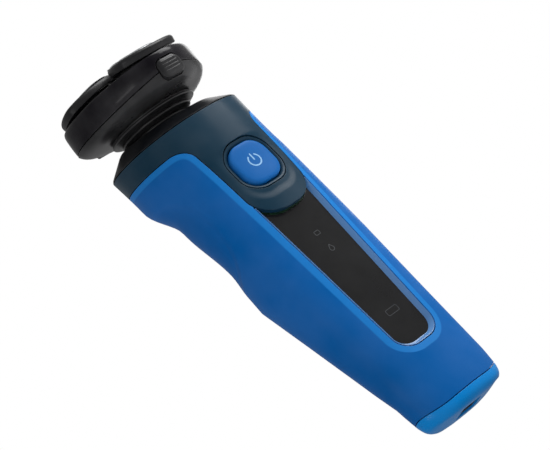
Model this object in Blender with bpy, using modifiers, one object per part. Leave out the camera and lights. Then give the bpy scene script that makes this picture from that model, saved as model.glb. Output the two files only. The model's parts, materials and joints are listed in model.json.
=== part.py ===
"""Rotary three-head wet and dry shaver, standing on its base.

Metres, +Z from the base to the head, front at -Y, +X to the right seen from the front.
Handle pieces are in world axes. Head pieces hang from an empty at the neck pivot, whose
Z leans forward by the head tilt. The origin is under the middle of the whole box.
"""
import math

import bpy
from mathutils import Euler, Matrix, Vector

mm = 0.001

# Sides of the round shapes
skinSides = 32
headSidesCount = 32
petalSides = 28

# Fits
gap = 0.3 * mm
wall = 1.8 * mm

# Handle sections: height, half width, front and back, each with its own value
originShiftY = -2.97 * mm
handleHeight = 133.5 * mm
seamHeight = 4.2 * mm
baseHalfWidth = 19.0 * mm
baseFront = -17.7 * mm
baseBack = 0.3 * mm
gripHalfWidth = 23.8 * mm
gripFront = -19.1 * mm
gripBack = 15.6 * mm
gripZ = 68.0 * mm
stepZ = 74.0 * mm
recessHalfWidth = 23.2 * mm
recessFront = -19.5 * mm
recessBack = 13.6 * mm
recessZ = 84.0 * mm
recessTopZ = 106.0 * mm
recessTopBack = 17.4 * mm
ledgeZ = 119.0 * mm
collarHalfWidth = 25.2 * mm
collarFront = -20.4 * mm
collarBack = 27.6 * mm
sectionPower = 2.12
bottomRadius = 29.0 * mm
bottomFlat = 8.0 * mm
flatInset = 3.4 * mm

# Collar
collarTilt = math.radians(13.0)
bandHeight = 7.3 * mm
facetInset = 8.0 * mm
facetRise = 6.6 * mm
facetBackDrop = 2.4 * mm
wellRadius = 12.4 * mm
wellDrop = 2.4 * mm

# Front panel, display and power button
tongueTopHalf = 13.3 * mm
tongueEndHalf = 9.0 * mm
tongueTopZ = 118.0 * mm
displayEndZ = 23.8 * mm
displayTopZ = 85.0 * mm
displayCorner = 7.0 * mm
panelFillet = 6.0 * mm
panelEndRadius = 10.5 * mm
displayHorn = 6.5 * mm
trimWidth = 1.1 * mm
windowThick = 1.4 * mm
buttonZ = 103.9 * mm
buttonWidth = 15.4 * mm
buttonHeight = 16.0 * mm
buttonThick = 3.4 * mm
buttonStroke = 0.7 * mm
bezelWidth = 1.7 * mm
sealThick = 0.8 * mm

# Rear cover
rearHalfWidth = 12.5 * mm
rearLowZ = 14.0 * mm
rearHighZ = 112.0 * mm
rearCorner = 6.0 * mm

# Inside the handle
batteryRadius = 7.1 * mm
batteryLength = 50.0 * mm
batteryLowZ = 38.0 * mm
batteryY = -4.2 * mm
boardThick = 1.2 * mm
boardY = -13.6 * mm
boardWidth = 18.0 * mm
boardLowZ = 24.0 * mm
boardHighZ = 112.0 * mm
displayBoardThick = 0.8 * mm
motorRadius = 8.2 * mm
motorLength = 20.0 * mm
motorTopZ = 123.0 * mm
motorShaftRadius = 1.0 * mm
socketWidth = 8.6 * mm
socketDepth = 6.4 * mm
socketLength = 11.0 * mm
socketWall = 1.0 * mm
contactRadius = 0.8 * mm
contactSpread = 1.5 * mm
tabThick = 0.4 * mm
tabWidth = 5.0 * mm
chassisThick = 1.6 * mm
chassisLowZ = 22.0 * mm
chassisHighZ = 97.0 * mm
bulkheadThick = 1.6 * mm
motorScrewSpread = 7.2 * mm
screwHole = 0.95 * mm
bulkheadInset = wall + 0.85 * mm
sealHeight = 1.1 * mm
couplingDrop = 6.9 * mm
couplingLength = 2.5 * mm

# Neck and head, heights measured from the pivot along the head's own axis
pivotY = 6.4 * mm
pivotZ = 136.0 * mm
headTilt = math.radians(12.0)
ballRadius = 11.0 * mm
ballWall = 1.4 * mm
postRadius = 5.9 * mm
postBore = 4.4 * mm
postDepth = 9.9 * mm
gimbalRadius = 8.4 * mm
gimbalWall = 1.6 * mm
gimbalHeight = 2.6 * mm
gimbalPinRadius = 0.8 * mm
ringRadii = (11.6 * mm, 14.0 * mm, 16.8 * mm)
ringHeights = (5.4 * mm, 7.3 * mm, 9.3 * mm)
ringDepth = 1.5 * mm
chamberLow = 10.6 * mm
chamberWall = 1.4 * mm
chamberMouth = 15.6 * mm
seamSide = 14.8 * mm
seamFront = 16.8 * mm
lobeRadius = 26.2 * mm
lobeSwing = 1.5 * mm
lipTop = 23.2 * mm
lipWidth = 1.1 * mm
deckThick = 1.2 * mm
headTop = 26.0 * mm
deckDrop = 1.5 * mm
petalTilt = math.radians(11.0)
petalCentre = 14.7 * mm
petalRadius = 12.5 * mm
petalSwing = 1.2 * mm
petalThick = 3.2 * mm
guardCentre = 12.85 * mm
guardRadius = 9.5 * mm
guardSkirt = 8.3 * mm
guardProud = 0.7 * mm
guardWall = 0.45 * mm
guardCore = 1.9 * mm
guardTrack = 4.2 * mm
capGap = 0.25 * mm
cutterRadius = 7.9 * mm
hubRadius = 3.0 * mm
hubBore = 2.1 * mm
spindleRadius = 1.1 * mm
toothModule = 0.9 * mm
driveTeeth = 12
spindleTeeth = 16
gearThick = 2.4 * mm
gearLow = 12.7 * mm
plateThick = 1.6 * mm
coverThick = 1.2 * mm
coverInset = 5.6 * mm
releaseWidth = 9.6 * mm
releaseHeight = 7.2 * mm
releaseMiddle = 16.6 * mm
releaseThick = 3.1 * mm
releaseCorner = 2.6 * mm
releaseProud = 0.3 * mm
frameLow = 18.6 * mm
frameThick = 1.2 * mm
frameInset = 1.9 * mm
frameBore = 7.4 * mm
releaseStroke = 1.2 * mm
postCircle = 13.2 * mm
hingePinRadius = 0.8 * mm
hingeLength = 18.0 * mm
knuckleLength = 8.0 * mm
knuckleRadius = 1.7 * mm


def clearScene():
    for item in list(bpy.data.objects):
        bpy.data.objects.remove(item, do_unlink=True)


def makeCollection(name):
    collection = bpy.data.collections.new(name)
    bpy.context.scene.collection.children.link(collection)
    return collection


def makeMaterial(name, colour, roughness, metallic=0.0):
    material = bpy.data.materials.new(name)
    material.use_nodes = True
    shader = material.node_tree.nodes["Principled BSDF"]
    shader.inputs["Base Color"].default_value = (*colour, 1.0)
    shader.inputs["Roughness"].default_value = roughness
    shader.inputs["Metallic"].default_value = metallic
    material.diffuse_color = (*colour, 1.0)
    return material


def makeMaterials():
    return {
        "bodyBlue": makeMaterial("body_blue", (0.005, 0.105, 0.36), 0.42),
        "capBlue": makeMaterial("cap_blue", (0.0, 0.22, 0.62), 0.3),
        "buttonBlue": makeMaterial("button_blue", (0.02, 0.13, 0.42), 0.35),
        "tealDark": makeMaterial("teal_dark", (0.012, 0.035, 0.06), 0.35),
        "collarBlack": makeMaterial("collar_black", (0.004, 0.006, 0.01), 0.4),
        "glossBlack": makeMaterial("gloss_black", (0.012, 0.012, 0.014), 0.08),
        "trimBlue": makeMaterial("trim_blue", (0.1, 0.3, 0.6), 0.2),
        "charcoal": makeMaterial("charcoal", (0.03, 0.03, 0.034), 0.45),
        "holderBlack": makeMaterial("holder_black", (0.012, 0.011, 0.016), 0.22),
        "rubber": makeMaterial("rubber", (0.02, 0.02, 0.022), 0.7),
        "blade": makeMaterial("blade", (0.62, 0.63, 0.65), 0.28, 1.0),
        "steel": makeMaterial("steel", (0.55, 0.56, 0.58), 0.3, 1.0),
        "brass": makeMaterial("brass", (0.78, 0.57, 0.22), 0.3, 1.0),
        "nylon": makeMaterial("nylon", (0.75, 0.75, 0.72), 0.5),
        "board": makeMaterial("board", (0.02, 0.16, 0.07), 0.5),
        "cell": makeMaterial("cell", (0.05, 0.3, 0.12), 0.4),
        "chassisGrey": makeMaterial("chassis_grey", (0.16, 0.17, 0.18), 0.6),
    }


clearScene()
parts = makeCollection("electric_shaver")
tools = makeCollection("cutters")
materials = makeMaterials()


def addMesh(name, mesh, material, collection=None):
    item = bpy.data.objects.new(name, mesh)
    (collection or parts).objects.link(item)
    mesh.materials.clear()
    mesh.materials.append(materials[material])
    return item


def shadeSmooth(item, angle=math.radians(35.0)):
    item.data.shade_smooth()
    item.data.set_sharp_from_angle(angle=angle)
    return item


def loft(name, rings, material, capStart=False, capEnd=False, collection=None):
    """A surface through closed rings, listed from low to high, each counter-clockwise."""
    count = len(rings[0])
    points = [point for ring in rings for point in ring]
    faces = []
    for low in range(len(rings) - 1):
        for step in range(count):
            after = (step + 1) % count
            here = low * count
            above = here + count
            faces.append((here + step, here + after, above + after, above + step))
    if capStart:
        faces.append(tuple(reversed(range(count))))
    if capEnd:
        top = (len(rings) - 1) * count
        faces.append(tuple(range(top, top + count)))
    mesh = bpy.data.meshes.new(name)
    mesh.from_pydata(points, [], faces)
    mesh.update()
    return shadeSmooth(addMesh(name, mesh, material, collection))


def solidify(item, thickness):
    modifier = item.modifiers.new("wall", "SOLIDIFY")
    modifier.thickness = thickness
    modifier.offset = -1.0
    modifier.use_even_offset = True
    return item


def bevel(item, width, segments=2, angle=math.radians(40.0)):
    modifier = item.modifiers.new("edge", "BEVEL")
    modifier.width = width
    modifier.segments = segments
    modifier.limit_method = "ANGLE"
    modifier.angle_limit = angle
    return item


def boolean(item, cutter, operation="DIFFERENCE"):
    modifier = item.modifiers.new(operation.lower(), "BOOLEAN")
    modifier.operation = operation
    modifier.solver = "EXACT"
    modifier.object = cutter
    return item


def asCutter(item):
    for collection in list(item.users_collection):
        collection.objects.unlink(item)
    tools.objects.link(item)
    item.hide_render = True
    item.display_type = "WIRE"
    return item


def box(name, size, centre, material, parent=None):
    bpy.ops.mesh.primitive_cube_add(size=1.0)
    item = bpy.context.object
    item.name = name
    item.data.transform(Matrix.Diagonal((*size, 1.0)))
    return place(item, centre, material, parent)


def cylinder(name, radius, depth, centre, material, parent=None, rotation=(0, 0, 0), sides=24):
    bpy.ops.mesh.primitive_cylinder_add(vertices=sides, radius=radius, depth=depth)
    item = bpy.context.object
    item.name = name
    shadeSmooth(item)
    return place(item, centre, material, parent, rotation)


def place(item, centre, material, parent=None, rotation=(0, 0, 0)):
    for collection in list(item.users_collection):
        collection.objects.unlink(item)
    parts.objects.link(item)
    item.location = centre
    item.rotation_euler = Euler(rotation)
    item.parent = parent
    item.data.materials.clear()
    item.data.materials.append(materials[material])
    return item


def turned(name, profile, material, parent=None, centre=(0, 0, 0), rotation=(0, 0, 0), steps=24,
           closed=False):
    """A profile of (radius, height) points, down its outer side, turned about its own Z."""
    points = [(radius, 0.0, height) for radius, height in profile]
    edges = [(step, step + 1) for step in range(len(points) - 1)]
    if closed:
        edges.append((len(points) - 1, 0))
    mesh = bpy.data.meshes.new(name)
    mesh.from_pydata(points, edges, [])
    item = addMesh(name, mesh, material)
    modifier = item.modifiers.new("turn", "SCREW")
    modifier.steps = steps
    modifier.render_steps = steps
    modifier.angle = math.tau
    modifier.use_merge_vertices = True
    modifier.merge_threshold = 0.00001
    modifier.use_smooth_shade = False
    item.location = centre
    item.rotation_euler = Euler(rotation)
    item.parent = parent
    return item


def arc(centreX, centreY, radius, start, end, steps):
    angles = [math.radians(start + (end - start) * step / steps) for step in range(steps + 1)]
    return [(centreX + radius * math.cos(angle), centreY + radius * math.sin(angle)) for angle in angles]


def roundedBox(width, height, radius, steps=4, centre=(0.0, 0.0)):
    x = width / 2 - radius
    y = height / 2 - radius
    corners = ((x, y, 0), (-x, y, 90), (-x, -y, 180), (x, -y, 270))
    points = []
    for cornerX, cornerY, start in corners:
        points += arc(cornerX + centre[0], cornerY + centre[1], radius, start, start + 90, steps)
    return points


def smoothStep(value):
    value = min(max(value, 0.0), 1.0)
    return value * value * (3.0 - 2.0 * value)


handleStations = (
    (0.0, baseHalfWidth - 0.6 * mm, baseFront + 0.3 * mm, baseBack - 0.4 * mm),
    (12 * mm, baseHalfWidth + 0.4 * mm, baseFront, baseBack),
    (gripZ, gripHalfWidth, gripFront, gripBack),
    (stepZ, gripHalfWidth - 0.1 * mm, gripFront - 0.1 * mm, gripBack - 0.5 * mm),
    (recessZ, recessHalfWidth, recessFront, recessBack),
    (recessTopZ, recessHalfWidth + 0.4 * mm, recessFront - 0.5 * mm, recessTopBack),
    (ledgeZ, collarHalfWidth - 0.5 * mm, collarFront, collarBack - 0.8 * mm),
    (handleHeight + 12 * mm, collarHalfWidth + 0.2 * mm, collarFront, collarBack + 0.4 * mm),
)


def sectionAt(z):
    """Half width, front and back of the handle's outer skin at a height."""
    rows = handleStations
    z = min(max(z, rows[0][0]), rows[-1][0])
    for low, high in zip(rows[:-1], rows[1:]):
        if z <= high[0]:
            break
    share = (z - low[0]) / (high[0] - low[0])
    if low[0] >= stepZ - 1e-9 or high[0] <= gripZ + 1e-9 and low[0] >= 12 * mm - 1e-9:
        share = share if high[0] <= gripZ + 1e-9 else smoothStep(share)
    return tuple(a + (b - a) * share for a, b in zip(low[1:], high[1:]))


def sectionPoint(z, angle, inset=0.0):
    halfWidth, front, back = sectionAt(z)
    depth = (back - front) / 2
    middle = (back + front) / 2
    cosine = math.cos(angle)
    sine = math.sin(angle)
    power = 2.0 / sectionPower
    x = math.copysign(abs(cosine) ** power, cosine) * (halfWidth - inset)
    y = math.copysign(abs(sine) ** power, sine) * (depth - inset) + middle
    return x, y


def skinRing(z, inset=0.0, tilt=0.0, sag=0.0):
    """One ring of the skin; tilt lifts the back, sag curves the ring up at both sides."""
    ring = []
    for step in range(skinSides):
        x, y = sectionPoint(z, math.tau * step / skinSides, inset)
        lift = y * math.tan(collarTilt) * tilt + sagAt(x) * sag
        ring.append(Vector((x, y + originShiftY, z + lift)))
    return ring


def tiltAt(level):
    """How far a ring of the skin has turned towards the collar's tilt."""
    return smoothStep((level - 100 * mm) / (20 * mm))


def flatRing(z, inset):
    """The skin's outline in a level plane, where the rings above and below are tilted."""
    ring = []
    for step in range(skinSides):
        level = z
        for _ in range(6):
            x, y = sectionPoint(level, math.tau * step / skinSides, inset)
            level = z - y * math.tan(collarTilt) * tiltAt(level)
        ring.append(Vector((x, y + originShiftY, z)))
    return ring


def sagAt(x):
    outer = max(abs(x) - bottomFlat, 0.0)
    return bottomRadius - math.sqrt(bottomRadius ** 2 - outer ** 2)


def frontY(z, x=0.0, inset=0.0):
    """World Y of the front skin at a height and a distance from the middle."""
    halfWidth, front, back = sectionAt(z)
    depth = (back - front) / 2 - inset
    middle = (back + front) / 2
    share = 1.0 - (abs(x) / (halfWidth - inset)) ** sectionPower
    return middle - depth * max(share, 0.0) ** (1.0 / sectionPower) + originShiftY


def handleSkin(name, material):
    rings = []
    for level in (seamHeight + gap / 2, 12 * mm, 24 * mm, 46 * mm, gripZ, stepZ, 79 * mm, recessZ, 95 * mm,
                  recessTopZ, 110 * mm, 114.5 * mm, ledgeZ, 126 * mm, handleHeight):
        sag = 1.0 - smoothStep((level - seamHeight) / (20 * mm))
        rings.append(skinRing(level, 0.0, tiltAt(level), sag))
    return solidify(loft(name, rings, material), wall)


def tongueHalf(z):
    share = (z - displayEndZ) / (tongueTopZ - displayEndZ)
    return tongueEndHalf + (tongueTopHalf - tongueEndHalf) * share


def panelOutline(grow, lowZ, wide):
    """Front outline of the dark panel: a wide band with a tongue below it, ending round."""
    bandLow = handleHeight - bandHeight - grow
    liftAtFront = math.tan(collarTilt) * (frontY(bandLow, tongueTopHalf) - originShiftY)
    bandLow += liftAtFront
    half = tongueHalf(bandLow) + grow
    fillet = panelFillet - grow
    endRadius = min(panelEndRadius, tongueHalf(lowZ) + grow - 0.05 * mm)
    lowHalf = tongueHalf(lowZ + endRadius) + grow
    right = arc(lowHalf - endRadius, lowZ - grow + endRadius, endRadius, -90, 0, 4)
    right += arc(half + fillet, bandLow - fillet, fillet, 180, 90, 4)
    right += [(wide, bandLow), (wide, 170 * mm)]
    left = [(-x, z) for x, z in reversed(right)]
    return right + left


def panelCutter(name, grow):
    """The dark panel's region: the whole collar band, and the tongue through the front only."""
    outline = panelOutline(grow, displayTopZ, 45 * mm)
    lean = math.tan(collarTilt)
    frontLean = frontY(110 * mm, tongueTopHalf) - originShiftY
    rings = []
    for y in (-4 * mm, -40 * mm):
        leanAt = lean * (y - frontLean)
        rings.append([Vector((x, y + originShiftY, z + leanAt * (z > 112 * mm))) for x, z in outline])
    item = loft(name, rings, "chassisGrey", True, True)
    bandLow = handleHeight - bandHeight - grow
    rings = []
    for y in (45 * mm, -5 * mm):
        z = bandLow + lean * y
        corners = ((-45 * mm, z), (45 * mm, z), (45 * mm, 170 * mm), (-45 * mm, 170 * mm))
        rings.append([Vector((x, y + originShiftY, height)) for x, height in corners])
    band = asCutter(loft(name + "_band", rings, "chassisGrey", True, True))
    boolean(item, band, "UNION")
    return asCutter(item)


def displayOutline(inset, lowZ, highZ):
    corner = displayCorner - inset
    low = lowZ + inset
    high = highZ
    lowHalf = tongueHalf(low + corner) - inset
    points = arc(lowHalf - corner, low + corner, corner, -90, 0, 5)
    points += [(tongueHalf(high) - inset, high)]
    left = [(-x, z) for x, z in reversed(points)]
    return points + left


def frontPrism(name, outline, material, depth=14 * mm):
    """An outline seen from the front, swept along Y through the front skin only."""
    rings = [[Vector((x, y + originShiftY, z)) for x, z in outline] for y in (-25 * mm + depth, -25 * mm)]
    return loft(name, rings, material, True, True)


def frontPatch(name, outlineHalf, lowZ, highZ, material, recess, thickness, columns, rows):
    """A curved plate that follows the front skin, recess below it."""
    rings = []
    for row in range(rows + 1):
        z = lowZ + (highZ - lowZ) * row / rows
        half = outlineHalf(z)
        outer = []
        inner = []
        for column in range(columns + 1):
            x = half * (1.0 - 2.0 * column / columns)
            y = frontY(z, x, recess)
            outer.append(Vector((x, y, z)))
            inner.append(Vector((x, y + thickness, z)))
        rings.append(list(reversed(outer)) + inner)
    return loft(name, rings, material, True, True)


def buildHandleShells():
    rearCut = asCutter(rearPrism("rear_cut", gap))
    opening = displayOutline(0.0, displayEndZ, displayTopZ + displayHorn)
    windowCut = asCutter(frontPrism("window_cut", opening, "chassisGrey"))
    panelCut = panelCutter("panel_cut", gap)

    shell = handleSkin("main_shell", "bodyBlue")
    boolean(shell, rearCut)
    boolean(shell, panelCut)
    boolean(shell, windowCut)

    rear = handleSkin("rear_cover", "bodyBlue")
    boolean(rear, asCutter(rearPrism("rear_keep", 0.0)), "INTERSECT")

    panel = handleSkin("collar_panel", "tealDark")
    boolean(panel, panelCutter("panel_keep", 0.0), "INTERSECT")
    buttonCut = frontPrism("button_cut", buttonOutline(bezelWidth + gap), "chassisGrey")
    boolean(panel, asCutter(buttonCut))


def rearPrism(name, grow):
    height = rearHighZ - rearLowZ + 2 * grow
    centre = (0.0, (rearHighZ + rearLowZ) / 2)
    outline = roundedBox(2 * (rearHalfWidth + grow), height, rearCorner + grow, 4, centre)
    rings = [[Vector((x, y + originShiftY, z)) for x, z in outline] for y in (45 * mm, -4 * mm)]
    return loft(name, rings, "chassisGrey", True, True)


def buttonOutline(grow):
    return roundedBox(buttonWidth + 2 * grow, buttonHeight + 2 * grow, 5.8 * mm + grow, 4, (0.0, buttonZ))


def buildDisplay():
    highZ = displayTopZ + displayHorn
    outline = displayOutline(trimWidth + gap, displayEndZ, highZ - gap)
    window = frontPrism("display_window", outline, "glossBlack")
    panelClear = panelCutter("window_panel_cut", gap)
    boolean(window, panelClear)
    sheet = frontPatch("window_sheet", lambda z: tongueHalf(z) + 2 * mm, 18 * mm, 100 * mm, "glossBlack",
                       0.35 * mm, windowThick, 8, 6)
    boolean(window, asCutter(sheet), "INTERSECT")

    trim = frontPrism("display_trim", displayOutline(gap, displayEndZ, highZ - gap), "trimBlue")
    within = displayOutline(trimWidth, displayEndZ, highZ + 5 * mm)
    inside = frontPrism("trim_inside", within, "trimBlue", 20 * mm)
    boolean(trim, asCutter(inside))
    boolean(trim, panelClear)
    boolean(trim, asCutter(frontPatch("trim_sheet", lambda z: tongueHalf(z) + 2 * mm, 18 * mm, 100 * mm,
                                      "trimBlue", 0.1 * mm, windowThick + 0.3 * mm, 8, 6)), "INTERSECT")


def buildBaseCap():
    """The bottom cap: a curved lip under the seam, a round edge and a flat to stand on."""
    rings = []
    narrow = bottomFlat / (baseHalfWidth - flatInset)
    rings.append([Vector((point.x * narrow, point.y, 0.0)) for point in skinRing(0.0, flatInset)])
    for level, inset in ((0.35 * mm, 1.9 * mm), (1.3 * mm, 0.7 * mm), (2.6 * mm, 0.2 * mm)):
        rings.append(skinRing(level, inset, 0.0, 1.0))
    rings.append(skinRing(seamHeight - gap / 2, 0.0, 0.0, 1.0))
    cap = loft("base_cap", rings, "capBlue", True, False)
    solidify(cap, 1.6 * mm)
    middleY = (baseFront + baseBack) / 2 + originShiftY
    hole = box("socket_hole", (socketWidth + 2 * gap, socketDepth + 2 * gap, 12 * mm),
               (0, middleY, 1 * mm), "rubber")
    boolean(cap, asCutter(hole))
    return middleY


def buildSocket(middleY):
    """The charging inlet: an open well in the cap, with its two contact pins."""
    low = 0.6 * mm
    high = low + socketLength
    well = box("charge_socket", (socketWidth, socketDepth, socketLength), (0, middleY, (low + high) / 2),
               "rubber")
    hollow = (socketWidth - 2 * socketWall, socketDepth - 2 * socketWall, socketLength)
    boolean(well, asCutter(box("socket_hollow", hollow, (0, middleY, (low + high) / 2 - 2 * mm), "rubber")))
    pinLow = low + 4.2 * mm
    pinHigh = high + 3 * mm
    for side, name in ((-1, "charge_pin_left"), (1, "charge_pin_right")):
        centre = (side * contactSpread, middleY, (pinLow + pinHigh) / 2)
        drill = cylinder(name + "_hole", contactRadius + 0.03 * mm, 8 * mm, (centre[0], middleY, high),
                         "rubber", sides=12)
        boolean(well, asCutter(drill))
        cylinder(name, contactRadius, pinHigh - pinLow, centre, "brass", sides=12)


def buildCollarTop():
    """The sloped facet round the collar, its ridge, and the well that the neck stands in."""
    edge = [point + Vector((0, 0, gap)) for point in skinRing(handleHeight, 0.0, 1.0)]
    pivot = Vector((0, pivotY + originShiftY, pivotZ))
    tilt = Matrix.Rotation(headTilt, 3, "X")
    count = len(edge)
    ridge = []
    for point in edge:
        inward = Vector((pivot.x - point.x, pivot.y - point.y, 0)).normalized()
        rise = facetRise - facetBackDrop * smoothStep((point.y - originShiftY) / collarBack)
        ridge.append(point + inward * facetInset + Vector((0, 0, rise)))
    soft = [a.lerp(b, 0.86) + Vector((0, 0, 0.35 * mm)) for a, b in zip(edge, ridge)]
    lip = [a.lerp(b, 0.05) + Vector((0, 0, 0.25 * mm)) for a, b in zip(edge, ridge)]
    axis = tilt @ Vector((0, 0, 1))
    well = []
    for step in range(count):
        angle = math.tau * step / count
        direction = tilt @ Vector((math.cos(angle), math.sin(angle), 0))
        well.append(pivot + direction * wellRadius + axis * wellDrop)
    crown = [a.lerp(b, 0.18) for a, b in zip(ridge, well)]
    under = axis * -1.5 * mm
    inside = [point + Vector((0, 0, 2 * gap)) for point in skinRing(handleHeight, wall + gap, 1.0)]
    beneath = [[point + under for point in ring] for ring in (well, crown, soft)]
    rings = [edge, lip, soft, crown, well, *beneath, inside]
    loftLoop("collar_top", rings, "collarBlack", None)


def buildButton():
    """The power button, its bezel, and the soft seal behind it; it travels straight back."""
    face = frontY(buttonZ) - 0.5 * mm
    back = face + buttonThick
    button = prismY("power_button", buttonOutline(0.0), face, back, "buttonBlue")
    bevel(button, 0.9 * mm, 2)
    bezelBack = back + buttonStroke
    bezel = prismY("button_bezel", buttonOutline(bezelWidth), face + 0.8 * mm, bezelBack, "tealDark")
    hole = prismY("bezel_hole", buttonOutline(gap), face - 5 * mm, face + 9 * mm, "tealDark")
    boolean(bezel, asCutter(hole))
    bevel(bezel, 0.4 * mm, 1)
    seal = prismY("button_seal", buttonOutline(bezelWidth), bezelBack + gap, bezelBack + gap + sealThick,
                  "rubber")
    hole = roundedBox(buttonWidth - 4 * mm, buttonHeight - 4 * mm, 4 * mm, 4, (0, buttonZ))
    boolean(seal, asCutter(prismY("seal_hole", hole, face, face + 9 * mm, "rubber")))


def prismY(name, outline, nearY, farY, material):
    """An outline of (x, z) points between two Y planes, front first."""
    rings = [[Vector((x, y, z)) for x, z in outline] for y in (farY, nearY)]
    return loft(name, rings, material, True, True)


def buildBoards():
    y = boardY + originShiftY
    middle = (boardHighZ + boardLowZ) / 2
    box("main_board", (boardWidth, boardThick, boardHighZ - boardLowZ), (0, y, middle), "board")
    front = y - boardThick / 2
    switchDepth = 1.75 * mm
    box("power_switch", (6 * mm, switchDepth, 6 * mm), (0, front - gap - switchDepth / 2, buttonZ), "rubber")
    low = displayEndZ + 9 * mm
    high = displayTopZ - 3 * mm
    box("display_board", (13 * mm, displayBoardThick, high - low),
        (0, front - gap - displayBoardThick / 2, (high + low) / 2), "board")


def buildBattery():
    y = batteryY + originShiftY
    middle = batteryLowZ + batteryLength / 2
    cylinder("battery_cell", batteryRadius, batteryLength, (0, y, middle), "cell")
    boardBack = boardY + boardThick / 2 + originShiftY
    for name, z in (("battery_tab_low", batteryLowZ - gap - tabThick / 2),
                    ("battery_tab_high", batteryLowZ + batteryLength + gap + tabThick / 2)):
        reach = y + 3 * mm - boardBack - gap
        box(name, (tabWidth, reach, tabThick), (0, boardBack + gap + reach / 2, z), "steel")


def skinHalf(z, y, inset):
    """Half width of the handle's section at a height, at a distance y behind the middle."""
    halfWidth, front, back = sectionAt(z)
    depth = (back - front) / 2 - inset
    share = 1.0 - (abs(y - (back + front) / 2) / depth) ** sectionPower
    return (halfWidth - inset) * max(share, 0.0) ** (1.0 / sectionPower)


def buildChassis():
    """A web across the handle behind the board, with a bed for the cell on its back."""
    near = boardY + boardThick / 2 + gap
    far = near + chassisThick
    cellY = batteryY + originShiftY
    rings = []
    for step in range(9):
        z = chassisLowZ + (chassisHighZ - chassisLowZ) * step / 8
        ring = []
        for side, y in ((1, near), (1, far), (-1, far), (-1, near)):
            ring.append(Vector((side * skinHalf(z, y, wall + gap), y + originShiftY, z)))
        rings.append(ring)
    web = loft("chassis", rings, "chassisGrey", True, True)
    low = batteryLowZ - 4 * mm
    high = batteryLowZ + batteryLength + 4 * mm
    bedBack = batteryY + 1.0 * mm
    middle = ((bedBack + near + chassisThick / 2) / 2) + originShiftY
    block = box("cell_block", (19 * mm, bedBack - near - chassisThick / 2, high - low),
                (0, middle, (low + high) / 2), "chassisGrey")
    boolean(web, asCutter(block), "UNION")
    cell = (0, cellY, batteryLowZ + batteryLength / 2)
    bed = cylinder("cell_bed", batteryRadius + gap, batteryLength + 2 * gap, cell, "chassisGrey")
    boolean(web, asCutter(bed))
    for z in (batteryLowZ - gap - tabThick / 2, batteryLowZ + batteryLength + gap + tabThick / 2):
        slot = box("tab_slot", (tabWidth + 2 * gap, 30 * mm, tabThick + 2 * gap),
                   (0, cellY - 4 * mm, z), "chassisGrey")
        boolean(web, asCutter(slot))
    boardFront = boardY - boardThick / 2 + originShiftY
    for name, z in (("board_screw_low", boardLowZ + 4 * mm), ("board_screw_high", chassisHighZ - 6 * mm)):
        turn = (math.pi / 2, 0, 0)
        drill = cylinder(name + "_hole", screwHole, 20 * mm, (0, boardFront, z), "chassisGrey",
                         rotation=turn, sides=12)
        asCutter(drill)
        boolean(web, drill)
        boolean(bpy.data.objects["main_board"], drill)
        screw(name, 0.8 * mm, 1.5 * mm, boardThick + chassisThick, (0, boardFront - gap / 2, z), "steel",
              rotation=turn)


def buildMotor():
    """The motor hangs under a bulkhead that closes the handle below the neck."""
    y = pivotY + originShiftY
    middle = motorTopZ - motorLength / 2
    cylinder("motor_can", motorRadius, motorLength, (0, y, middle), "steel", sides=32)
    low = motorTopZ + gap
    high = low + bulkheadThick
    rings = [flatRing(level, bulkheadInset) for level in (low, high)]
    plate = loft("motor_mount", rings, "chassisGrey", True, True)
    boolean(plate, asCutter(cylinder("mount_bore", 3.0 * mm, 6 * mm, (0, y, low), "chassisGrey")))
    for side, name in ((-1, "motor_screw_left"), (1, "motor_screw_right")):
        x = side * motorScrewSpread
        hole = cylinder(name + "_hole", screwHole, 6 * mm, (x, y, low), "chassisGrey", sides=12)
        boolean(plate, asCutter(hole))
        screw(name, 0.8 * mm, 1.5 * mm, bulkheadThick, (x, y, high + gap / 2), "steel")
    seal = [(1.9 * mm, sealHeight), (3.5 * mm, sealHeight), (3.5 * mm, 0), (1.3 * mm, 0),
            (1.3 * mm, 0.6 * mm)]
    turned("shaft_seal", seal, "rubber", centre=(0, y, high + gap), steps=20, closed=True)
    shaftHigh = pivotZ - couplingDrop
    cylinder("motor_shaft", motorShaftRadius, shaftHigh - low, (0, y, (low + shaftHigh) / 2), "steel",
             sides=16)
    bore = motorShaftRadius + 0.03 * mm
    top = 0.2 * mm
    coupling = [(bore, top), (2.2 * mm, top), (2.2 * mm, -couplingLength), (bore, -couplingLength)]
    turned("shaft_coupling", coupling, "nylon", centre=(0, y, shaftHigh), steps=16, closed=True)


def screw(name, radius, headRadius, length, top, material, parent=None, rotation=(0, 0, 0)):
    """A pan-head screw whose head sits at the given point, its shank running down."""
    profile = [(0, 1.0 * mm), (headRadius * 0.7, 1.0 * mm), (headRadius, 0.5 * mm), (headRadius, 0),
               (radius, 0), (radius, -length), (0, -length)]
    return turned(name, profile, material, parent, top, rotation, steps=12)


def headEmpty():
    empty = bpy.data.objects.new("head_frame", None)
    parts.objects.link(empty)
    empty.location = (0, pivotY + originShiftY, pivotZ)
    empty.rotation_euler = Euler((headTilt, 0, 0))
    return empty


headSides = (("front", -90.0), ("right", 30.0), ("left", 150.0))


def petalEmpty(head, name, bearing):
    """The tilted frame of one shaving head; its Z is the axis that the cutter turns on."""
    empty = bpy.data.objects.new("petal_frame_" + name, None)
    parts.objects.link(empty)
    turn = Matrix.Rotation(math.radians(bearing), 4, "Z") @ Matrix.Rotation(petalTilt, 4, "Y")
    outward = Matrix.Rotation(math.radians(bearing), 4, "Z") @ Matrix.Translation((guardCentre, 0, headTop))
    empty.parent = head
    empty.matrix_local = Matrix.Translation(outward.translation) @ turn
    return empty


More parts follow.
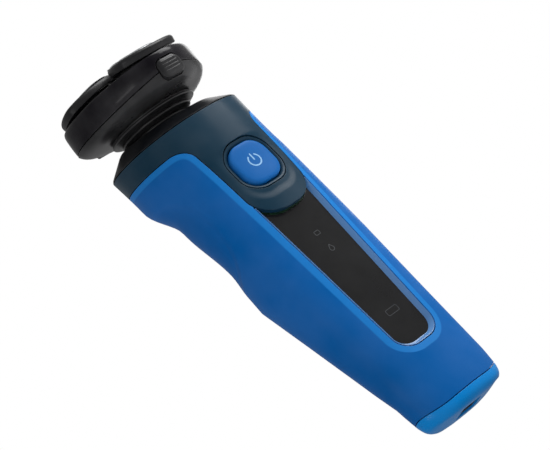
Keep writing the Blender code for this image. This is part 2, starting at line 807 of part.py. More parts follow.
def lobe(angle, radius, swing):
    """A rounded triangle by its support function, with one round corner at angle -90."""
    turn = 3 * (angle + math.pi / 2)
    support = radius + swing * math.cos(turn)
    slope = -3 * swing * math.sin(turn)
    x = support * math.cos(angle) - slope * math.sin(angle)
    y = support * math.sin(angle) + slope * math.cos(angle)
    return x, y


def lobeRing(level, inset=0.0, wave=0.0):
    """A ring of the head's outline; wave moves it to the seam, which is higher at the front."""
    ring = []
    for step in range(headSidesCount):
        angle = math.tau * step / headSidesCount
        x, y = lobe(angle, lobeRadius - inset, lobeSwing)
        ring.append(Vector((x, y, level + wave * seamRise(angle))))
    return ring


def circleRing(radius, level):
    angles = [math.tau * step / headSidesCount for step in range(headSidesCount)]
    return [Vector((radius * math.cos(angle), radius * math.sin(angle), level)) for angle in angles]


def seamRise(angle):
    """How far the seam stands over its side height: all of it at the front, none past 75 degrees."""
    away = abs(math.degrees(angle) - 270.0)
    away = min(away, 360.0 - away)
    return (seamFront - seamSide) * (0.5 + 0.5 * math.cos(min(away / 75.0, 1.0) * math.pi))


def loftLoop(name, rings, material, parent):
    """A ring-shaped solid: each ring joins the next, and the last joins the first."""
    count = len(rings[0])
    total = len(rings)
    points = [point for ring in rings for point in ring]
    faces = []
    for low in range(total):
        for step in range(count):
            after = (step + 1) % count
            here = low * count
            above = ((low + 1) % total) * count
            faces.append((here + step, here + after, above + after, above + step))
    mesh = bpy.data.meshes.new(name)
    mesh.from_pydata(points, [], faces)
    mesh.update()
    item = shadeSmooth(addMesh(name, mesh, material))
    item.parent = parent
    return item


def ballProfile():
    inner = ballRadius - ballWall
    outerArc = [(ballRadius * math.cos(math.radians(a)), ballRadius * math.sin(math.radians(a)))
                for a in range(22, -33, -18)]
    innerArc = [(inner * math.cos(math.radians(a)), inner * math.sin(math.radians(a)))
                for a in range(-32, 23, 18)]
    return outerArc + innerArc


def buildNeck(head):
    """The ball that turns in the collar's well, and the stepped rubber rings above it."""
    ball = turned("neck_ball", ballProfile(), "charcoal", head, closed=True)
    for side in (-1, 1):
        centre = (0, side * ballRadius, 0)
        drill = cylinder("ball_hole", gimbalPinRadius + 0.05 * mm, 6 * mm, centre, "charcoal", head,
                         (math.pi / 2, 0, 0), 16)
        boolean(ball, asCutter(drill))
    top = chamberLow - gap
    profile = [(ringRadii[-1] - 0.5 * mm, top)]
    for radius, height in zip(reversed(ringRadii), reversed(ringHeights)):
        profile += [(radius, height + ringDepth * 0.2), (radius, height - ringDepth * 0.2),
                    (radius - 0.7 * mm, height - ringDepth * 0.55)]
    low = profile[-1][1]
    profile += [(ringRadii[0] - 2.4 * mm, low), (ringRadii[-1] - 3.6 * mm, top)]
    turned("neck_bellows", profile, "rubber", head, closed=True, steps=24)


def buildGimbal(head):
    """The cross ring: it pitches on pins along X, and the head rolls on its pins along Y."""
    half = gimbalHeight / 2
    inner = gimbalRadius - gimbalWall
    ring = turned("gimbal_ring", [(gimbalRadius, half), (gimbalRadius, -half), (inner, -half), (inner, half)],
                  "nylon", head, closed=True)
    post = [(postRadius, half), (postRadius, -postDepth), (postBore, -postDepth), (postBore, half)]
    post = turned("neck_post", post, "chassisGrey", head, closed=True, steps=24)
    notch = cylinder("post_notch", 3.9 * mm, 8 * mm, (0, pivotY + originShiftY, motorTopZ + 3.6 * mm),
                     "chassisGrey")
    boolean(post, asCutter(notch))
    pins = (("gimbal_pin_left", -1, 0), ("gimbal_pin_right", 1, 0), ("gimbal_pin_front", 0, -1),
            ("gimbal_pin_back", 0, 1))
    for name, x, y in pins:
        low, high = inner + 0.2 * mm, ballRadius - 0.3 * mm
        if x:
            low, high = postBore + 0.4 * mm, gimbalRadius - 0.2 * mm
        middle = (low + high) / 2
        turn = (0, math.pi / 2, 0) if x else (math.pi / 2, 0, 0)
        centre = (x * middle, y * middle, 0)
        drillLength = 14 * mm if x else high - low + 3 * mm
        drill = cylinder(name + "_hole", gimbalPinRadius + 0.05 * mm, drillLength, centre, "steel", head,
                         turn, 12)
        boolean(ring, asCutter(drill))
        if x:
            boolean(post, drill)
        cylinder(name, gimbalPinRadius, high - low, centre, "steel", head, turn, 12)


def gearOutline(teeth, rotation):
    """A spur gear with straight-sided teeth, thin enough to run with a little play."""
    pitchRadius = toothModule * teeth / 2
    toothPitch = math.tau / teeth
    half = 0.2 * math.pi * toothModule
    levels = ((-1.15 * toothModule, half + 0.42 * toothModule),
              (0.85 * toothModule, half - 0.3 * toothModule))
    points = []
    for tooth in range(teeth):
        middle = rotation + tooth * toothPitch
        (rootDrop, rootHalf), (tipRise, tipHalf) = levels
        rootRadius = pitchRadius + rootDrop
        tipRadius = pitchRadius + tipRise
        for radius, width in ((rootRadius, -rootHalf), (tipRadius, -tipHalf), (tipRadius, tipHalf),
                              (rootRadius, rootHalf)):
            angle = middle + width / radius
            points.append((radius * math.cos(angle), radius * math.sin(angle)))
    return points


def gear(name, teeth, rotation, centre, shaftLow, shaftHigh, shaftRadius, head, material):
    """A gear with its shaft, one solid: the shaft is joined with a union."""
    outline = gearOutline(teeth, rotation)
    rings = [[Vector((x, y, z)) for x, y in outline] for z in (0.0, gearThick)]
    item = loft(name, rings, material, True, True)
    item.location = (*centre, gearLow)
    item.parent = head
    shaftMiddle = (shaftHigh + shaftLow) / 2
    shaft = cylinder(name + "_shaft", shaftRadius, shaftHigh - shaftLow, (*centre, shaftMiddle),
                     material, head, sides=16)
    boolean(item, asCutter(shaft), "UNION")
    return item


def buildGears(head):
    """The centre gear on the neck's axis turns three spindle gears round it."""
    reach = toothModule * (driveTeeth + spindleTeeth) / 2
    driveHigh = gearLow + gearThick + 0.5 * mm
    gear("drive_gear", driveTeeth, 0.0, (0, 0), -2.6 * mm, driveHigh, 1.2 * mm, head, "nylon")
    tip = headTop - 0.95 * mm
    for name, bearing in headSides:
        angle = math.radians(bearing)
        drivePitch = math.tau / driveTeeth
        offset = round(angle / drivePitch) * drivePitch - angle
        turn = angle + math.pi - offset * driveTeeth / spindleTeeth + math.pi / spindleTeeth
        centre = (reach * math.cos(angle), reach * math.sin(angle))
        gear("spindle_gear_" + name, spindleTeeth, turn, centre, chamberLow + gap, tip, spindleRadius, head,
             "nylon")
    return reach


def buildGearBox(head, reach):
    """The plate under the gears, with their bearings, and the cover over them."""
    low = chamberLow
    plate = cylinder("gear_plate", chamberMouth - gap, plateThick, (0, 0, low + plateThick / 2),
                     "charcoal", head, sides=32)
    boolean(plate, asCutter(cylinder("plate_bore", 1.5 * mm, 9 * mm, (0, 0, low), "charcoal", head)))
    coverLow = gearLow + gearThick + gap
    cover = loft("gear_cover", [lobeRing(coverLow, coverInset), lobeRing(coverLow + coverThick, coverInset)],
                 "charcoal", True, True)
    cover.parent = head
    for name, bearing in headSides:
        angle = math.radians(bearing)
        centre = (reach * math.cos(angle), reach * math.sin(angle))
        bearingHole = cylinder("bearing_" + name, spindleRadius + 0.08 * mm, 30 * mm, (*centre, low),
                               "charcoal", head, sides=16)
        boolean(plate, asCutter(bearingHole))
        boolean(cover, bearingHole)
    boolean(cover, asCutter(cylinder("cover_bore", 1.5 * mm, 4 * mm, (0, 0, coverLow), "charcoal", head)))
    for step in range(3):
        angle = math.radians(90.0 + 120.0 * step)
        foot = low + plateThick / 2
        top = coverLow - gap
        centre = (postCircle * math.cos(angle), postCircle * math.sin(angle), (foot + top) / 2)
        post = cylinder("gear_post", 1.4 * mm, top - foot, centre, "charcoal", head, sides=12)
        boolean(plate, asCutter(post), "UNION")


def releaseOutline(grow):
    return roundedBox(releaseWidth + 2 * grow, releaseHeight + 2 * grow, releaseCorner + grow, 4,
                      (0.0, releaseMiddle))


def headPrismY(name, outline, nearY, farY, material, head):
    item = prismY(name, outline, nearY, farY, material)
    item.parent = head
    return item


def buildChamber(head):
    """The hair chamber: the lower shell of the head, open upward, clipped on the gear plate."""
    inner = chamberWall
    rings = [
        circleRing(chamberMouth, chamberLow + inner),
        circleRing(chamberMouth, chamberLow),
        lobeRing(chamberLow, 4.4 * mm),
        lobeRing(chamberLow + 0.5 * mm, 1.9 * mm),
        lobeRing(chamberLow + 1.8 * mm, 0.6 * mm),
        lobeRing(seamSide - gap / 2, 0.1 * mm, 1.0),
        lobeRing(seamSide - gap / 2, inner, 1.0),
        lobeRing(chamberLow + 2.4 * mm, inner + 0.4 * mm),
        lobeRing(chamberLow + inner, 4.4 * mm),
    ]
    chamber = loftLoop("hair_chamber", rings, "charcoal", head)
    boolean(chamber, bpy.data.objects["release_cut"])
    return chamber


def deckLevel(radius):
    """Height of the holder's sloping deck at a distance from the axis."""
    return headTop - deckDrop - (radius - guardCentre) * math.tan(petalTilt)


def buildHolder(head):
    """The upper frame: a lip round the three shaving heads and a cone-shaped deck below them."""
    hole = 1.8 * mm
    wide = lobeRadius - lipWidth
    rings = [
        lobeRing(seamSide + gap / 2, 0.1 * mm, 1.0),
        lobeRing(19.0 * mm, 0.0, 0.3),
        lobeRing(lipTop - 0.5 * mm, 0.3 * mm),
        lobeRing(lipTop, 0.7 * mm),
        lobeRing(lipTop - 0.1 * mm, lipWidth),
        lobeRing(deckLevel(wide), lipWidth + 0.1 * mm),
        circleRing(hole, deckLevel(hole)),
        circleRing(hole, deckLevel(hole) - deckThick),
        lobeRing(deckLevel(wide) - deckThick - 0.2 * mm, lipWidth + 0.5 * mm),
        lobeRing(seamSide + gap / 2, chamberWall, 1.0),
    ]
    holder = loftLoop("head_holder", rings, "holderBlack", head)
    boolean(holder, bpy.data.objects["release_cut"])
    for name, bearing in headSides:
        frame = bpy.data.objects["petal_frame_" + name]
        hole = cylinder("deck_hole_" + name, guardSkirt + gap, 9 * mm, (0, 0, 0), "holderBlack", frame,
                        sides=24)
        boolean(holder, asCutter(hole))
    return holder


def petalOutline(grow):
    """One shaving head's rounded outline in its own frame, X outward."""
    points = []
    for step in range(petalSides):
        angle = math.tau * step / petalSides
        turn = 3 * (angle - math.pi)
        support = petalRadius + grow + petalSwing * math.cos(turn)
        slope = -3 * petalSwing * math.sin(turn)
        x = support * math.cos(angle) - slope * math.sin(angle) + petalCentre - guardCentre
        y = support * math.sin(angle) + slope * math.cos(angle)
        points.append((x, y))
    return points


def buildShavingHeads():
    """Each head: a floating carrier, the guard in it, and the cutter that turns under the guard."""
    for name, bearing in headSides:
        frame = bpy.data.objects["petal_frame_" + name]
        edge = ((0.0, 0.0), (1.5 * mm, 0.0), (petalThick - 0.5 * mm, -0.6 * mm), (petalThick, -1.5 * mm))
        rings = [[Vector((x, y, z)) for x, y in petalOutline(grow)] for z, grow in edge]
        carrier = loft("guard_carrier_" + name, rings, "charcoal", True, True)
        carrier.parent = frame
        hole = cylinder("carrier_hole_" + name, guardRadius + gap, 12 * mm, (0, 0, 0), "charcoal", frame,
                        sides=24)
        boolean(carrier, asCutter(hole))
        top = petalThick + guardProud
        shelf = 0.6 * mm
        under = top - guardWall
        profile = [(guardCore, top - 0.5 * mm), (3.0 * mm, top - 0.1 * mm), (guardTrack, top),
                   (guardRadius - 1.6 * mm, top), (guardRadius - 0.3 * mm, top - 0.5 * mm),
                   (guardRadius, top - 1.2 * mm), (guardRadius, shelf), (guardSkirt, shelf),
                   (guardSkirt, -2.4 * mm), (guardSkirt - guardWall, -2.4 * mm),
                   (guardSkirt - guardWall, under - 0.4 * mm), (guardTrack, under),
                   (guardCore, under - 0.5 * mm)]
        turned("guard_" + name, profile, "blade", frame, closed=True, steps=24)
        capRadius = guardCore - capGap
        dome = [(0, top - 0.1 * mm), (1.2 * mm, top - 0.2 * mm), (capRadius, top - 0.6 * mm),
                (capRadius, top - 1.3 * mm), (0, top - 1.3 * mm)]
        turned("guard_cap_" + name, dome, "charcoal", frame, steps=12)
        cutterTop = top - guardWall - 0.7 * mm
        bladeEdge = cutterRadius - 0.4 * mm
        blade = [(2.2 * mm, cutterTop), (cutterRadius - 1.2 * mm, cutterTop),
                 (bladeEdge, cutterTop - 0.5 * mm), (bladeEdge, cutterTop - 1.3 * mm),
                 (hubRadius, cutterTop - 1.3 * mm), (hubRadius, -2.0 * mm), (hubBore, -2.0 * mm),
                 (hubBore, cutterTop - 1.0 * mm)]
        turned("cutter_" + name, blade, "steel", frame, closed=True, steps=24)


def buildRetainer(head):
    """The frame clipped in under the deck that keeps the three shaving heads in the holder."""
    rings = [lobeRing(frameLow, frameInset), lobeRing(frameLow + frameThick, frameInset)]
    frame = loft("retaining_frame", rings, "nylon", True, True)
    frame.parent = head
    reach = toothModule * (driveTeeth + spindleTeeth) / 2
    for name, bearing in headSides:
        angle = math.radians(bearing)
        centre = (reach * math.cos(angle), reach * math.sin(angle), frameLow)
        hole = cylinder("frame_hole_" + name, frameBore, 9 * mm, centre, "nylon", head, sides=24)
        boolean(frame, asCutter(hole))
    notchBack = -(lobeRadius + lobeSwing) + releaseThick + releaseStroke + gap
    notch = box("release_notch", (releaseWidth + 2 * mm, 12 * mm, 9 * mm),
                (0, notchBack - 6 * mm, frameLow), "nylon", head)
    boolean(frame, asCutter(notch))


def buildRelease(head):
    """The release button in the front wall; pressing it frees the holder's front edge."""
    wallY = -(lobeRadius + lobeSwing)
    cut = headPrismY("release_cut", releaseOutline(gap), wallY - 5 * mm, wallY + 6 * mm, "charcoal", head)
    asCutter(cut)
    button = headPrismY("release_button", releaseOutline(0.0), wallY - releaseProud,
                        wallY + releaseThick, "charcoal", head)
    bevel(button, 0.5 * mm, 1)


def buildHinge(head):
    """The hinge at the back: two ears on the chamber, a knuckle on the holder, one pin."""
    wallY = lobeRadius - lobeSwing
    y = wallY + knuckleRadius + 0.25 * mm
    z = seamSide
    turn = (0, math.pi / 2, 0)
    holder = bpy.data.objects["head_holder"]
    chamber = bpy.data.objects["hair_chamber"]
    earLength = (hingeLength - knuckleLength) / 2 - gap
    earMiddle = knuckleLength / 2 + gap + earLength / 2
    webDeep = y - wallY + 1.0 * mm
    for owner, x, length, rise in ((holder, 0.0, knuckleLength, 1), (chamber, -earMiddle, earLength, -1),
                                   (chamber, earMiddle, earLength, -1)):
        barrel = cylinder("barrel", knuckleRadius, length, (x, y, z), "charcoal", head, turn, 16)
        boolean(owner, asCutter(barrel), "UNION")
        centre = (x, y - webDeep / 2, z + rise * (gap / 2 + 0.6 * mm))
        boolean(owner, asCutter(box("web", (length, webDeep, 1.2 * mm), centre, "charcoal", head)), "UNION")
    drill = asCutter(cylinder("hinge_bore", hingePinRadius + 0.05 * mm, hingeLength + 4 * mm, (0, y, z),
                              "charcoal", head, turn, 16))
    boolean(holder, drill)
    boolean(chamber, drill)
    cylinder("hinge_pin", hingePinRadius, hingeLength, (0, y, z), "steel", head, turn, 12)


def buildAll():
    buildHandleShells()
    buildDisplay()
    buildSocket(buildBaseCap())
    buildCollarTop()
    buildButton()
    buildBoards()
    buildBattery()
    buildChassis()
    buildMotor()
    head = headEmpty()
    for name, bearing in headSides:
        petalEmpty(head, name, bearing)
    buildNeck(head)
    buildGimbal(head)
    reach = buildGears(head)
    buildGearBox(head, reach)
    buildRelease(head)
    buildChamber(head)
    buildHolder(head)
    buildRetainer(head)
    buildShavingHeads()
    buildHinge(head)


buildAll()
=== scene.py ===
import json
import math

import bpy
from mathutils import Matrix, Vector


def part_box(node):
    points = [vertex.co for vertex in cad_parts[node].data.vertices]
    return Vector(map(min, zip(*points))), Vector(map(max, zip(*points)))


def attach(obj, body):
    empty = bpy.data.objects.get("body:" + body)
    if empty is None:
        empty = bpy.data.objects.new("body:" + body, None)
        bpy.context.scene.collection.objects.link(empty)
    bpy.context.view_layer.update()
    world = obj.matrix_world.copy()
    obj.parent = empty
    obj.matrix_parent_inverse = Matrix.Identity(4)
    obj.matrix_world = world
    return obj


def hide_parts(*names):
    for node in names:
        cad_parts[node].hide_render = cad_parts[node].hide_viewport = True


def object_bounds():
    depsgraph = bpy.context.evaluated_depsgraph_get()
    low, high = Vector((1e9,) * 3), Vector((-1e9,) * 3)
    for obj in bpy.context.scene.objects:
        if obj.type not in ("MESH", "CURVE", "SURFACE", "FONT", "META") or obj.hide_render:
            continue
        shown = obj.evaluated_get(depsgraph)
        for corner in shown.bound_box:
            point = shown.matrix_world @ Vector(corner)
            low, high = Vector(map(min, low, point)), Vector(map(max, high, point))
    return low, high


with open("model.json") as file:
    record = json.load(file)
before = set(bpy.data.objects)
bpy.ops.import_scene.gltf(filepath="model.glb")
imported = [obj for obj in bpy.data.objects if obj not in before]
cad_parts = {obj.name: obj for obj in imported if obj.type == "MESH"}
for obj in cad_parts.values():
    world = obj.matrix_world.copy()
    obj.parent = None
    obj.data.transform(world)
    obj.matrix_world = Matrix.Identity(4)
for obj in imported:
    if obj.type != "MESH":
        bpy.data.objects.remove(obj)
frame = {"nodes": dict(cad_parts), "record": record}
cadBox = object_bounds()
print("frame loaded")

mm = 0.001
joints = {joint["name"]: joint for joint in frame["record"]["behaviour"]["joints"]}
neckPivot = Vector(joints["head_pitch"]["pos_m"])
rollAxis = Vector(joints["head_roll"]["axis"]).normalized()
headUp = Vector((1, 0, 0)).cross(rollAxis).normalized()


def placeFrom(origin, across, deep, up):
    place = Matrix((across, deep, up)).transposed().to_4x4()
    place.translation = origin
    return place


headPlace = placeFrom(neckPivot, Vector((1, 0, 0)), rollAxis, headUp)
plainPlace = Matrix.Identity(4)


def unitPlace(side):
    # frame of one shaving unit: Z along its cutter's axis, X away from the head's middle
    joint = joints["cutter_spin_" + side]
    origin = Vector(joint["pos_m"])
    up = Vector(joint["axis"]).normalized()
    away = origin - neckPivot
    across = (away - up * away.dot(up)).normalized()
    return placeFrom(origin, across, up.cross(across), up)


# Finishes


def nodeTree(name):
    material = bpy.data.materials.new(name)
    material.use_nodes = True
    return material, material.node_tree, material.node_tree.nodes["Principled BSDF"]


def calc(tree, operation, *values):
    # one Math node; values are numbers or other nodes' outputs
    node = tree.nodes.new("ShaderNodeMath")
    node.operation = operation
    for socket, value in zip(node.inputs, values):
        if isinstance(value, (int, float)):
            socket.default_value = value
        else:
            tree.links.new(value, socket)
    return node.outputs[0]


def spread(tree, value, fromLow, fromHigh, toLow, toHigh, smooth=False):
    node = tree.nodes.new("ShaderNodeMapRange")
    node.interpolation_type = "SMOOTHSTEP" if smooth else "LINEAR"
    for socket, number in zip(node.inputs[1:5], (fromLow, fromHigh, toLow, toHigh)):
        socket.default_value = number
    tree.links.new(value, node.inputs[0])
    return node.outputs[0]


def noise(tree, scale, detail=3.0, stretch=None):
    coords = tree.nodes.new("ShaderNodeTexCoord").outputs["Object"]
    if stretch:
        mapping = tree.nodes.new("ShaderNodeMapping")
        mapping.inputs["Scale"].default_value = stretch
        tree.links.new(coords, mapping.inputs["Vector"])
        coords = mapping.outputs["Vector"]
    node = tree.nodes.new("ShaderNodeTexNoise")
    node.inputs["Scale"].default_value = scale
    node.inputs["Detail"].default_value = detail
    tree.links.new(coords, node.inputs["Vector"])
    return node.outputs["Fac"]


def mixColours(tree, share, first, second):
    node = tree.nodes.new("ShaderNodeMix")
    node.data_type = "RGBA"
    tree.links.new(share, node.inputs["Factor"])
    for socket, colour in ((node.inputs["A"], first), (node.inputs["B"], second)):
        if isinstance(colour, tuple):
            socket.default_value = (*colour, 1.0)
        else:
            tree.links.new(colour, socket)
    return node.outputs["Result"]


def bumpFrom(tree, height, distance, normal=None, strength=1.0):
    node = tree.nodes.new("ShaderNodeBump")
    node.inputs["Strength"].default_value = strength
    node.inputs["Distance"].default_value = distance
    tree.links.new(height, node.inputs["Height"])
    if normal is not None:
        tree.links.new(normal, node.inputs["Normal"])
    return node.outputs["Normal"]


def softEdge(tree, radius):
    node = tree.nodes.new("ShaderNodeBevel")
    node.samples = 4
    node.inputs["Radius"].default_value = radius
    return node.outputs["Normal"]


def edgeWear(tree, soft):
    # 0 on open faces, rising where the rounded normal leaves the face's own
    geometry = tree.nodes.new("ShaderNodeNewGeometry")
    dot = tree.nodes.new("ShaderNodeVectorMath")
    dot.operation = "DOT_PRODUCT"
    tree.links.new(soft, dot.inputs[0])
    tree.links.new(geometry.outputs["Normal"], dot.inputs[1])
    return spread(tree, dot.outputs["Value"], 0.995, 0.86, 0.0, 1.0)


def lighter(colour, share):
    return tuple(value + (1.0 - value) * share for value in colour)


def darker(colour, share):
    return tuple(value * (1.0 - share) for value in colour)


def plastic(name, colour, roughness, grain=0.0, grainSize=0.35, coat=0.0, specular=0.5, worn=0.06,
            edge=0.25, mottle=0.05, shape=None):
    # moulded plastic: fine grain, uneven gloss from handling, edges rubbed a little lighter
    material, tree, shader = nodeTree(name)
    soft = softEdge(tree, edge * mm)
    wear = edgeWear(tree, soft)
    handled = noise(tree, 55.0, 4.0)
    handled = spread(tree, handled, 0.35, 0.65, 0.0, 1.0)
    base = mixColours(tree, handled, darker(colour, mottle), lighter(colour, mottle * 0.3))
    spots = spread(tree, noise(tree, 420.0, 3.0), 0.42, 0.6, 0.0, worn * 4)
    wearSpots = calc(tree, "MULTIPLY", wear, spots)
    normal = soft
    if shape:
        base, normal = shape(tree, base, soft)
    base = mixColours(tree, wearSpots, base, lighter(colour, 0.25))
    tree.links.new(base, shader.inputs["Base Color"])
    gloss = spread(tree, noise(tree, 130.0, 4.0), 0.3, 0.7, roughness * 0.88, min(roughness * 1.14, 1.0))
    tree.links.new(gloss, shader.inputs["Roughness"])
    if grain:
        pits = noise(tree, 1000.0 / grainSize, 2.0)
        normal = bumpFrom(tree, pits, grain * mm, normal, 0.6)
    tree.links.new(normal, shader.inputs["Normal"])
    shader.inputs["Specular IOR Level"].default_value = specular
    shader.inputs["Coat Weight"].default_value = coat
    shader.inputs["Coat Roughness"].default_value = 0.06
    return material


def metal(name, colour, roughness, stretch=(1, 1, 1), streak=700.0, depth=0.004, edge=0.12):
    # machined metal: fine streaks across the turning marks, dull patches, bright edges
    material, tree, shader = nodeTree(name)
    soft = softEdge(tree, edge * mm)
    wear = edgeWear(tree, soft)
    streaks = noise(tree, streak, 4.0, stretch)
    patches = noise(tree, 90.0, 3.0)
    base = mixColours(tree, spread(tree, patches, 0.35, 0.7, 0.0, 1.0), darker(colour, 0.12), colour)
    base = mixColours(tree, wear, base, lighter(colour, 0.3))
    tree.links.new(base, shader.inputs["Base Color"])
    shader.inputs["Metallic"].default_value = 1.0
    dull = spread(tree, streaks, 0.3, 0.7, roughness * 0.8, roughness * 1.25)
    tree.links.new(dull, shader.inputs["Roughness"])
    tree.links.new(bumpFrom(tree, streaks, depth * mm, soft, 0.5), shader.inputs["Normal"])
    return material


handleLook = {
    "bodyBlue": (0.0, 0.14, 0.5),
    # painted highlight: the lighter blue of the sloped band round panel and display, standing in for light on
    # its slope
    "bandHighlightBlue": (0.015, 0.23, 0.68),
    "capBlue": (0.0, 0.31, 0.88),
    "buttonBlue": (0.001, 0.135, 0.47),
    "panelTeal": (0.003, 0.034, 0.066),
    # painted shade: the collar's top facet is coloured near-black, darker than the teal panel, for the shade
    # on it
    "crownPaintedShade": (0.0015, 0.0025, 0.0045),
    "displayBlack": (0.012, 0.012, 0.0125),
    "trimBlue": (0.1, 0.28, 0.62),
    "iconBlue": (0.3, 0.6, 0.95),
}
headLook = {
    "chamberGrey": (0.009, 0.009, 0.0105),
    "holderBlack": (0.005, 0.004, 0.007),
    "ringRubber": (0.011, 0.011, 0.012),
    "unitGrey": (0.009, 0.009, 0.0105),
    "guardSteel": (0.6, 0.61, 0.63),
    "bladeSteel": (0.5, 0.51, 0.53),
}

# Handle shape

handle = {
    "height": 133.5 * mm,
    "seam": 4.2 * mm,
    "power": 2.12,
    "wall": 1.8 * mm,
    "gap": 0.3 * mm,
    "tilt": math.radians(13.0),
    "sides": 112,
    "step": 1.7 * mm,
    "bottomRadius": 29.0 * mm,
    "bottomFlat": 8.0 * mm,
    "bandHeight": 7.3 * mm,
}
# height, half width, front and back of the skin, before the shift that centres the whole box
stations = [tuple(value * mm for value in row) for row in (
    (0.0, 18.4, -17.4, -0.1),
    (12.0, 19.4, -17.7, 0.3),
    (68.0, 23.8, -19.1, 15.6),
    (74.0, 23.7, -19.2, 15.1),
    (84.0, 23.2, -19.5, 13.6),
    (106.0, 23.6, -20.0, 17.4),
    (119.0, 24.7, -20.4, 26.8),
    (145.5, 25.4, -20.4, 28.0),
)]
pivotDepth = 6.4 * mm
shiftY = neckPivot.y - pivotDepth
tanTilt = math.tan(handle["tilt"])


def smoothStep(value):
    value = min(max(value, 0.0), 1.0)
    return value * value * (3.0 - 2.0 * value)


def sectionAt(z):
    z = min(max(z, stations[0][0]), stations[-1][0])
    for low, high in zip(stations[:-1], stations[1:]):
        if z <= high[0]:
            break
    share = (z - low[0]) / (high[0] - low[0])
    if low[0] > 70 * mm or low[0] < 1 * mm:
        share = smoothStep(share)
    return tuple(a + (b - a) * share for a, b in zip(low[1:], high[1:]))


def sagAt(x):
    outer = max(abs(x) - handle["bottomFlat"], 0.0)
    return handle["bottomRadius"] - math.sqrt(handle["bottomRadius"] ** 2 - outer ** 2)


def skinRing(z, inset=0.0, tilt=0.0, sag=0.0, count=None):
    halfWidth, front, back = sectionAt(z)
    depth = (back - front) / 2
    power = 2.0 / handle["power"]
    ring = []
    for step in range(count or handle["sides"]):
        angle = math.tau * step / (count or handle["sides"])
        cosine, sine = math.cos(angle), math.sin(angle)
        x = math.copysign(abs(cosine) ** power, cosine) * (halfWidth - inset)
        y = math.copysign(abs(sine) ** power, sine) * (depth - inset) + (back + front) / 2
        ring.append(Vector((x, y + shiftY, z + y * tanTilt * tilt + sagAt(x) * sag)))
    return ring


def frontY(z, x=0.0):
    halfWidth, front, back = sectionAt(z)
    share = max(1.0 - (abs(x) / halfWidth) ** handle["power"], 0.0)
    return (back + front) / 2 - (back - front) / 2 * share ** (1.0 / handle["power"]) + shiftY


# Mesh helpers


def addPiece(name, points, faces, material, body, place=plainPlace, sharp=34.0, ride=True):
    mesh = bpy.data.meshes.new(name)
    mesh.from_pydata([place @ Vector(point) for point in points], [], faces)
    mesh.materials.append(material)
    mesh.update()
    mesh.shade_smooth()
    mesh.set_sharp_from_angle(angle=math.radians(sharp))
    piece = bpy.data.objects.new(name, mesh)
    bpy.context.scene.collection.objects.link(piece)
    if ride:
        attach(piece, body)
    return piece


def bridge(rings, closed=False, capStart=False, capEnd=False):
    # faces through equal rings; closed joins the last ring back to the first
    count = len(rings[0])
    total = len(rings)
    points = [point for ring in rings for point in ring]
    faces = []
    for low in range(total if closed else total - 1):
        for step in range(count):
            after = (step + 1) % count
            here = low * count
            above = ((low + 1) % total) * count
            faces.append((here + step, here + after, above + after, above + step))
    if capStart:
        faces.append(tuple(reversed(range(count))))
    if capEnd:
        faces.append(tuple(range((total - 1) * count, total * count)))
    return points, faces


def turnedOver(faces):
    return [tuple(reversed(face)) for face in faces]


def turnedRings(profile, count):
    # rings of a (radius, height) profile, one ring for each profile point
    turns = [math.tau * step / count for step in range(count)]
    return [[Vector((radius * math.cos(turn), radius * math.sin(turn), height)) for turn in turns]
            for radius, height in profile]


def cutterFrom(name, rings):
    points, faces = bridge(rings, capStart=True, capEnd=True)
    mesh = bpy.data.meshes.new(name)
    mesh.from_pydata(points, [], faces)
    item = bpy.data.objects.new(name, mesh)
    bpy.context.scene.collection.objects.link(item)
    return item


def cutBy(piece, cutter, operation="DIFFERENCE"):
    modifier = piece.modifiers.new(operation.lower(), "BOOLEAN")
    modifier.operation = operation
    modifier.solver = "EXACT"
    modifier.object = cutter


def settle(piece, sharp=34.0):
    # applies the modifiers, so that the cutters can be thrown away
    graph = bpy.context.evaluated_depsgraph_get()
    mesh = bpy.data.meshes.new_from_object(piece.evaluated_get(graph))
    piece.modifiers.clear()
    piece.data = mesh
    mesh.shade_smooth()
    mesh.set_sharp_from_angle(angle=math.radians(sharp))
    return piece


def arc(centreX, centreY, radius, start, end, steps):
    angles = [math.radians(start + (end - start) * step / steps) for step in range(steps + 1)]
    return [(centreX + radius * math.cos(angle), centreY + radius * math.sin(angle)) for angle in angles]


def roundedBox(width, height, radius, steps=10, centre=(0.0, 0.0)):
    x = width / 2 - radius
    y = height / 2 - radius
    points = []
    for cornerX, cornerY, start in ((x, y, 0), (-x, y, 90), (-x, -y, 180), (x, -y, 270)):
        points += arc(cornerX + centre[0], cornerY + centre[1], radius, start, start + 90, steps)
    return points


def frontPrism(name, outline, near=-45 * mm, far=-4 * mm):
    return cutterFrom(name, [[Vector((x, y + shiftY, z)) for x, z in outline] for y in (far, near)])


# Panel and display outlines

panel = {
    "topHalf": 13.3 * mm,
    "endHalf": 9.0 * mm,
    "topZ": 118.0 * mm,
    "tongueEnd": 85.0 * mm,
    "endRadius": 10.5 * mm,
    "fillet": 6.0 * mm,
}
display = {
    "endZ": 23.8 * mm,
    "corner": 7.0 * mm,
    "slopeDeep": 1.6 * mm,
}


def tongueHalf(z):
    share = (z - display["endZ"]) / (panel["topZ"] - display["endZ"])
    return panel["endHalf"] + (panel["topHalf"] - panel["endHalf"]) * share


def mirrored(right):
    return right + [(-x, z) for x, z in reversed(right)]


